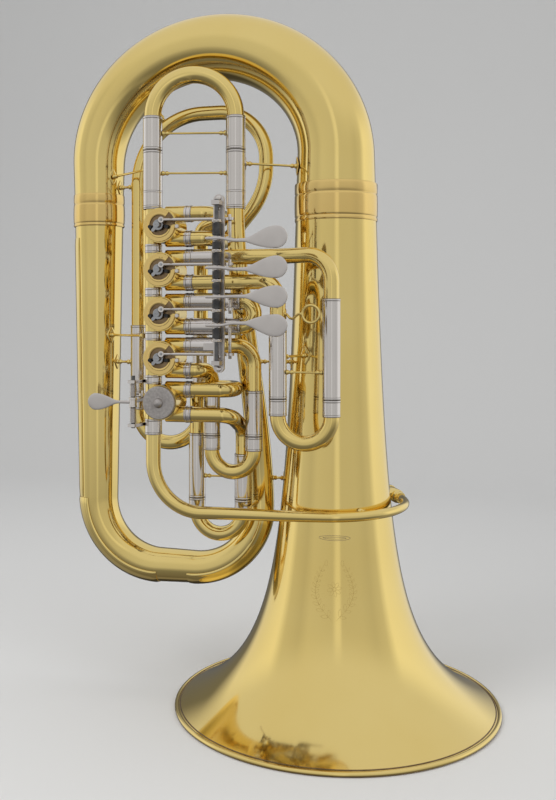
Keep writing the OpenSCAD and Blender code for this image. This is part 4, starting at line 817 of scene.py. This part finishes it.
# ------------------------------------------------------------------ ornament on the bell
# Leaf scrolls and a plain cartouche, as fine raised lines on the front of the bell.
def on_bell(u, z):
    a = math.radians(-82.5) + u / bell_f(z)
    rr = bell_f(z); dr = bell_f(z + 0.5) - bell_f(z - 0.5)
    return V(rr * math.cos(a), rr * math.sin(a), z), unit(V(math.cos(a), math.sin(a), -dr))
def engraved(pts, w, h=0.09, closed=False):
    """A closed three-sided ribbon lying on the bell along a line given in (across, height) millimetres."""
    q = [on_bell(u, z) for u, z in pts]
    m = len(q); vs, fs = [], []
    for k in range(m):
        if closed: t = q[(k + 1) % m][0] - q[k - 1][0]; env = 1.0
        else: t = q[min(k + 1, m - 1)][0] - q[max(k - 1, 0)][0]; env = 0.35 + 0.65 * math.sin(math.pi * k / (m - 1)) ** 0.6
        sd = unit(np.cross(q[k][1], t))
        vs += [q[k][0] - sd * w * env - q[k][1] * 0.06, q[k][0] + q[k][1] * h, q[k][0] + sd * w * env - q[k][1] * 0.06]
    for k in range(m if closed else m - 1):
        l = (k + 1) % m
        for j in range(3):
            i2 = (j + 1) % 3
            fs.append((3 * k + j, 3 * l + j, 3 * l + i2, 3 * k + i2))
    if not closed: fs += [(0, 1, 2), (3 * m - 1, 3 * m - 2, 3 * m - 3)]
    return vs, fs
g = Geo()
zc = 166.0
for sgn in (-1, 1):
    def stem_pt(t): return (sgn * (2.5 + 21 * math.sin(math.pi * 0.86 * t) + 2 * math.sin(2 * math.pi * t)), zc - 33 + 64 * t)
    v, f = engraved([stem_pt(k / 40) for k in range(41)], 0.42); g.add(v, f)
    # curl at the top of each stem
    tx, tz = stem_pt(1.0)
    v, f = engraved([(tx - sgn * (5.0 - 4.2 * k / 36) * (1 - math.cos(2.6 * math.pi * k / 36)) * 0.5, tz + (5.0 - 4.2 * k / 36) * math.sin(2.6 * math.pi * k / 36)) for k in range(37)], 0.36); g.add(v, f)
    for i in range(9):
        t = 0.06 + 0.1 * i
        bx, bz = stem_pt(t); ex, ez = stem_pt(t + 0.02)
        dirn = math.atan2(ez - bz, ex - bx)
        for turn, size in ((0.75, 9.5 - 0.5 * i), (-0.85, 8.0 - 0.4 * i)):
            a = dirn + turn; ca, sa = math.cos(a), math.sin(a)
            for bow in (-1, 1):
                pts = [(bx + size * (k / 12) * ca - bow * size * 0.20 * math.sin(math.pi * k / 12) * sa,
                        bz + size * (k / 12) * sa + bow * size * 0.20 * math.sin(math.pi * k / 12) * ca) for k in range(13)]
                v, f = engraved(pts, 0.30); g.add(v, f)
# flower between the stems
for i in range(8):
    a = math.pi * i / 4 + 0.2; ca, sa = math.cos(a), math.sin(a)
    pts = []
    for k in range(24):
        b = 2 * math.pi * k / 24
        x, y = 5.4 + 3.2 * math.cos(b), 1.7 * math.sin(b)
        pts.append((x * ca - y * sa, zc + 2 + x * sa + y * ca))
    v, f = engraved(pts, 0.28, closed=True); g.add(v, f)
v, f = engraved([(1.9 * math.cos(2 * math.pi * k / 24), zc + 2 + 1.9 * math.sin(2 * math.pi * k / 24)) for k in range(24)], 0.34, closed=True); g.add(v, f)
obj_from("bell_ornament", g.v, g.f, "engraving", angle=60)
g = Geo()
for A, B, n in ((19.0, 2.9, 64), (14.0, 1.1, 48)):
    v, f = engraved([(A * math.cos(2 * math.pi * k / n), 227.0 + B * math.sin(2 * math.pi * k / n)) for k in range(n)], 0.42, h=0.12, closed=True); g.add(v, f)
obj_from("bell_cartouche", g.v, g.f, "engraving_dark", angle=60)

# painted shade: a dark line where the rolled rim meets the flare, standing in for the dark reflection along the top of
# the roll
v, f = lathe([(199.0 + 0.8 * math.cos(2 * math.pi * k / 12), 5.75 + 0.55 * math.sin(2 * math.pi * k / 12)) for k in range(12)], (0, 0, 0), n=256)
obj_from("rim_shade_line", v, f, "shade_brass", angle=50)

# ------------------------------------------------------------------ valve faces
def face_ring(prof, i, y0=0.0, n=96, at=(0, 0)):
    """Lathe on valve i's axis; heights run towards -Y from the plane y = y0."""
    return lathe(prof, (-rotor_x + at[0], y0, VZ[i] + at[1]), (0, -1, 0), n)
def open_ring(prof, i, a0, a1, n=80):
    """The profile turned from a0 to a1 degrees about valve i's axis, with closed ends."""
    vs, fs, m = [], [], len(prof)
    for k in range(n + 1):
        a = math.radians(a0 + (a1 - a0) * k / n)
        vs += [V(-rotor_x + r * math.cos(a), -101.0 - h, VZ[i] + r * math.sin(a)) for r, h in prof]
    for k in range(n):
        for j in range(m):
            l = (j + 1) % m
            fs.append((k * m + j, k * m + l, (k + 1) * m + l, (k + 1) * m + j))
    fs += [tuple(reversed(range(m))), tuple(n * m + j for j in range(m))]
    c = V(-rotor_x, -102.0, VZ[i]); vol = 0
    for q in fs:
        for j in range(1, len(q) - 1):
            vol += float(np.dot(vs[q[0]] - c, np.cross(vs[q[j]] - c, vs[q[j + 1]] - c)))
    return vs, ([tuple(reversed(q)) for q in fs] if vol < 0 else fs)

g = Geo(); gi = Geo(); gl = Geo()
for i in range(4):
    v, f = open_ring([(12.6, 0.05), (19.8, 0.05), (20.2, 0.5), (20.2, 1.7), (19.8, 2.1), (15.4, 2.1), (14.8, 2.6), (13.4, 2.6), (12.6, 2.2)], i, 52, 357); g.add(v, f)
    v, f = face_ring([(3.15, 0.05), (19.6, 0.05), (20.0, 0.25), (20.0, 0.6), (19.6, 0.7), (7.2, 0.7), (6.8, 1.5), (3.15, 1.5)], i, -101.0); gi.add(v, f)
    P = [V(-rotor_x + x, -102.0, VZ[i] - 2.0) for x in (16.5, 18, 22, 25.6, 26.4)]
    v, f = bar(P, 0.95, 2.6); g.add(v, f)
    v, f = lathe([(0, 0), (2.5, 0), (2.6, .3), (2.6, 2.2), (2.2, 2.9), (0, 3.1)], (-rotor_x + 23.4, -102.9, VZ[i] - 2), (0, -1, 0), 28, closed_profile=False); gl.add(v, f)
obj_from("valve_face_rings", g.v, g.f, "gold_brass", replaces=("front_bearing_plates",), angle=38)
# painted shade: the floors of the wells inside the face rings are dark brass standing in for the shade of the recess
obj_from("valve_face_wells", gi.v, gi.f, "shade_brass", angle=38)
# clamp collars of the stop arms, turning with their rotors
for i in range(4):
    v, f = face_ring([(3.2, 0.15), (6.4, 0.15), (6.7, 0.45), (6.7, 2.1), (6.2, 2.6), (4.2, 2.6), (3.9, 2.3), (3.2, 2.3)], i, -105.2)
    obj_from("stop_collar_%d" % (4 - i), v, f, "steel_wire", body="rotor_%d_body" % (4 - i), angle=38)
obj_from("valve_stop_screws", gl.v, gl.f, "nickel_silver", angle=38)

# fifth cap: domed knob and a finely cut face
g = Geo()
nr, na = 26, 240
vs, fs = [], []
prof = [(0.0, 10.6), (1.4, 10.5), (2.8, 10.1), (4.2, 9.3), (5.2, 8.3), (5.9, 7.1), (6.15, 6.0), (6.2, 5.3), (6.6, 5.2)]
for k in range(nr):
    prof.append((7.2 + (19.0 - 7.2) * k / (nr - 1), 5.2))
prof += [(19.5, 5.15), (20.1, 4.8), (20.5, 4.2), (20.6, 3.5), (20.6, 0.5), (20.2, 0.1), (3.1, 0.1)]
rows = []
for (r, h) in prof:
    if r < 1e-9:
        rows.append([len(vs)] * na); vs.append(V(-rotor_x, -101.0 - h, VZ[4])); continue
    row = []
    for k in range(na):
        a = 2 * math.pi * k / na
        hh = h
        if 7.1 < r < 19.1:
            hh = h + 0.16 * math.sin(48 * a + 1.3 * r) * math.sin(48 * a - 1.3 * r)
        row.append(len(vs)); vs.append(V(-rotor_x + r * math.cos(a), -101.0 - hh, VZ[4] + r * math.sin(a)))
    rows.append(row)
for i in range(len(prof) - 1):
    A, B = rows[i], rows[i + 1]
    for k in range(na):
        l = (k + 1) % na
        q = [A[k], B[k], B[l], A[l]]
        q = [x for j, x in enumerate(q) if x != q[j - 1]]
        if len(q) >= 3: fs.append(tuple(q))
b0 = rows[-1]
c0 = len(vs); vs.append(V(-rotor_x, -101.1, VZ[4]))
for k in range(na): fs.append((b0[k], c0, b0[(k + 1) % na]))
obj_from("fifth_cap_face", vs, fs, "cap_nickel", replaces=("valve5_cap",), angle=38)

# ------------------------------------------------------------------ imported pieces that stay: finish and edges
def smooth_group():
    ng = bpy.data.node_groups.new("smooth_by_edge", "GeometryNodeTree")
    ng.interface.new_socket("Geometry", in_out="INPUT", socket_type="NodeSocketGeometry")
    ng.interface.new_socket("Geometry", in_out="OUTPUT", socket_type="NodeSocketGeometry")
    gi, go = ng.nodes.new("NodeGroupInput"), ng.nodes.new("NodeGroupOutput")
    mg = ng.nodes.new("GeometryNodeMergeByDistance"); mg.inputs["Distance"].default_value = 2e-6
    ss = ng.nodes.new("GeometryNodeSetShadeSmooth")
    ea = ng.nodes.new("GeometryNodeInputMeshEdgeAngle")
    cm = ng.nodes.new("FunctionNodeCompare"); cm.data_type = "FLOAT"; cm.operation = "LESS_THAN"
    cm.inputs[1].default_value = math.radians(34)
    se = ng.nodes.new("GeometryNodeSetShadeSmooth"); se.domain = "EDGE"
    L = ng.links
    L.new(gi.outputs[0], mg.inputs["Geometry"])
    L.new(mg.outputs[0], ss.inputs["Geometry"])
    L.new(ss.outputs[0], se.inputs["Geometry"])
    L.new(ea.outputs["Unsigned Angle"], cm.inputs[0])
    L.new(cm.outputs[0], se.inputs["Shade Smooth"])
    L.new(se.outputs[0], go.inputs[0])
    return ng
SG = smooth_group()
slots = {sp["node"]: sp.get("material_slot") for sp in frame["record"]["subparts"]}
special = {"front_bearing_plates": "gold_brass", "paddle_carrier": "satin_nickel", "valve5_cap": "satin_nickel"}
for n, o in NODES.items():
    if o.hide_render: continue
    slot_name = slots.get(n) or "nickel_silver"
    mat = special.get(n, slot_name)
    if n.startswith("stop_arm"): mat = "steel_wire"
    o.data.materials.clear(); o.data.materials.append(M.get(mat, M["nickel_silver"]))
    if "custom_normal" in o.data.attributes:
        o.data.attributes.remove(o.data.attributes["custom_normal"])
    o.data.polygons.foreach_set("use_smooth", [True] * len(o.data.polygons))
    gm = o.modifiers.new("smooth", "NODES"); gm.node_group = SG
    bv = o.modifiers.new("edge", "BEVEL")
    bv.width = 0.25 * MM; bv.segments = 2; bv.limit_method = "ANGLE"; bv.angle_limit = math.radians(40)
    bv.use_clamp_overlap = True; bv.harden_normals = False

# ------------------------------------------------------------------ floor, backdrop, light, camera
def stage_mat(name, c):
    m, nt, b = new_mat(name)
    b.inputs["Base Color"].default_value = (*c, 1); b.inputs["Roughness"].default_value = 0.75
    return m
fm = stage_mat("pale_floor", (0.74, 0.74, 0.735))
me = bpy.data.meshes.new("floor")
me.from_pydata([(-6, -6, 0), (6, -6, 0), (6, 1.6, 0), (-6, 1.6, 0)], [], [(0, 1, 2, 3)])
floor = bpy.data.objects.new("floor", me); me.materials.append(fm)
bpy.context.scene.collection.objects.link(floor)
vs, fs = [], []
for i in range(33):
    a = math.radians(90 * i / 32)
    y, z = 1.6 + 1.5 * math.sin(a), 1.5 - 1.5 * math.cos(a)
    vs += [(-6, y, z), (6, y, z)]
vs += [(-6, 3.1, 6), (6, 3.1, 6)]
for i in range(33): fs.append((2 * i, 2 * i + 1, 2 * i + 3, 2 * i + 2))
me = bpy.data.meshes.new("backdrop"); me.from_pydata(vs, [], fs); me.materials.append(fm)
me.polygons.foreach_set("use_smooth", [True] * len(me.polygons))
backdrop = bpy.data.objects.new("backdrop", me)
bpy.context.scene.collection.objects.link(backdrop)
backdrop.visible_glossy = False
floor.visible_glossy = False

w = bpy.data.worlds.new("studio"); bpy.context.scene.world = w; w.use_nodes = True
nt = w.node_tree; N, L = nt.nodes, nt.links
N.clear()
out = N.new("ShaderNodeOutputWorld")
tc = N.new("ShaderNodeTexCoord")
rot = N.new("ShaderNodeVectorRotate"); rot.rotation_type = "Z_AXIS"
rot.inputs["Angle"].default_value = math.radians(-14)
L.new(tc.outputs["Generated"], rot.inputs["Vector"])
sep = N.new("ShaderNodeSeparateXYZ"); L.new(rot.outputs["Vector"], sep.inputs["Vector"])
# azimuth seen from the object: 0 towards the camera (-Y), +-1 behind
ax = N.new("ShaderNodeMath"); ax.operation = "ARCTAN2"
neg = N.new("ShaderNodeMath"); neg.operation = "MULTIPLY"; neg.inputs[1].default_value = -1
L.new(sep.outputs["Y"], neg.inputs[0])
L.new(sep.outputs["X"], ax.inputs[0]); L.new(neg.outputs[0], ax.inputs[1])
mr = N.new("ShaderNodeMapRange")
mr.inputs["From Min"].default_value = -math.pi; mr.inputs["From Max"].default_value = math.pi
L.new(ax.outputs[0], mr.inputs["Value"])
ramp = N.new("ShaderNodeValToRGB")
stops = [(0.00, 0.14), (0.085, 0.18), (0.12, 0.80), (0.23, 0.94), (0.265, 0.64), (0.33, 0.56), (0.37, 0.64), (0.47, 0.60), (0.488, 0.80),
         (0.502, 0.80), (0.512, 0.60), (0.60, 0.60), (0.65, 0.56), (0.70, 0.64), (0.735, 0.95), (0.90, 0.86), (0.94, 0.22), (1.00, 0.14)]
el = ramp.color_ramp.elements
el[0].position, el[0].color = stops[0][0], (stops[0][1],) * 3 + (1,)
el[1].position, el[1].color = stops[-1][0], (stops[-1][1],) * 3 + (1,)
for p_, v_ in stops[1:-1]:
    e_ = el.new(p_); e_.color = (v_, v_, v_ * 0.985, 1)
L.new(mr.outputs["Result"], ramp.inputs["Fac"])
zr_ = N.new("ShaderNodeValToRGB")
ze = zr_.color_ramp.elements
ze[0].position, ze[0].color = 0.0, (0.25, 0.23, 0.215, 1)
ze[1].position, ze[1].color = 1.0, (1.10, 1.10, 1.10, 1)
for p_, v_ in ((0.26, 0.36), (0.35, 0.60), (0.43, 0.92), (0.52, 0.98), (0.75, 1.05)):
    e_ = ze.new(p_); e_.color = (v_, v_, v_, 1)
mz = N.new("ShaderNodeMapRange"); mz.inputs["From Min"].default_value = -1; mz.inputs["From Max"].default_value = 1
L.new(sep.outputs["Z"], mz.inputs["Value"]); L.new(mz.outputs["Result"], zr_.inputs["Fac"])
mul = N.new("ShaderNodeMix"); mul.data_type = "RGBA"; mul.blend_type = "MULTIPLY"; mul.inputs["Factor"].default_value = 1
L.new(ramp.outputs["Color"], mul.inputs["A"]); L.new(zr_.outputs["Color"], mul.inputs["B"])
# overhead the light is even, so the tops of the bows stay pale
ov = N.new("ShaderNodeMapRange"); ov.interpolation_type = "SMOOTHSTEP"
ov.inputs["From Min"].default_value = 0.28; ov.inputs["From Max"].default_value = 0.62
L.new(sep.outputs["Z"], ov.inputs["Value"])
mo = N.new("ShaderNodeMix"); mo.data_type = "RGBA"
mo.inputs["B"].default_value = (0.72, 0.72, 0.73, 1)
L.new(ov.outputs["Result"], mo.inputs["Factor"]); L.new(mul.outputs["Result"], mo.inputs["A"])
mul = mo
b1 = N.new("ShaderNodeBackground"); b1.inputs["Strength"].default_value = 1.0
L.new(mul.outputs["Result"], b1.inputs["Color"])
b2 = N.new("ShaderNodeBackground"); b2.inputs["Color"].default_value = (0.80, 0.80, 0.80, 1); b2.inputs["Strength"].default_value = 0.9
b3 = N.new("ShaderNodeBackground"); b3.inputs["Color"].default_value = (0.80, 0.80, 0.80, 1); b3.inputs["Strength"].default_value = 0.62
lp = N.new("ShaderNodeLightPath")
s1_ = N.new("ShaderNodeMixShader"); s2_ = N.new("ShaderNodeMixShader")
L.new(lp.outputs["Is Glossy Ray"], s1_.inputs["Fac"])
L.new(b3.outputs[0], s1_.inputs[1]); L.new(b1.outputs[0], s1_.inputs[2])
L.new(lp.outputs["Is Camera Ray"], s2_.inputs["Fac"])
L.new(s1_.outputs[0], s2_.inputs[1]); L.new(b2.outputs[0], s2_.inputs[2])
L.new(s2_.outputs[0], out.inputs["Surface"])

def area(name, loc, target, size, power, glossy=True, color=(1, 1, 1)):
    ld = bpy.data.lights.new(name, "AREA"); ld.shape = "RECTANGLE"
    ld.size, ld.size_y = size; ld.energy = power; ld.color = color
    o = bpy.data.objects.new(name, ld); bpy.context.scene.collection.objects.link(o)
    o.location = loc
    o.rotation_euler = (Vector(target) - Vector(loc)).to_track_quat("-Z", "Y").to_euler()
    o.visible_glossy = glossy
    return o
area("key", (-1.5, -1.6, 1.9), (-0.05, 0, 0.4), (1.2, 1.6), 26, glossy=False)
area("fill", (1.9, -1.3, 1.2), (0, 0, 0.4), (1.2, 1.6), 10, glossy=False)
area("top", (0.0, -0.2, 2.6), (0, 0, 0.4), (2.4, 1.8), 16, glossy=False)

cam_d = bpy.data.cameras.new("cam"); cam = bpy.data.objects.new("cam", cam_d)
bpy.context.scene.collection.objects.link(cam); bpy.context.scene.camera = cam
a = math.radians(14)
fw, rt = V(-math.sin(a), math.cos(a), 0), V(math.cos(a), math.sin(a), 0)
D, Lx = 1.240, (336 - 250) * 1.240 / 968
pos = -fw * D - rt * Lx
cam.location = (pos[0], pos[1], 0.490)
cam.rotation_mode = "XYZ"
cam.rotation_euler = (math.radians(90), 0, a)
cam_d.sensor_fit = "AUTO"; cam_d.sensor_width = 36; cam_d.lens = 968 * 36 / 800
cam_d.clip_start, cam_d.clip_end = 0.05, 60
for prop, val in (("shift_x", 0.035), ("shift_y", -0.1)):
    dr = cam_d.driver_add(prop).driver
    dr.type = "SCRIPTED"
    vr = dr.variables.new(); vr.name = "m"; vr.type = "SINGLE_PROP"
    vr.targets[0].id_type = "OBJECT"; vr.targets[0].id = cam; vr.targets[0].data_path = "rotation_mode"
    dr.expression = f"{val} if m > 0 else 0"

bpy.context.scene.view_settings.view_transform = "Standard"
bpy.context.scene.view_settings.look = "None"
bpy.context.scene.view_settings.exposure = 0.0

bpy.context.view_layer.update()
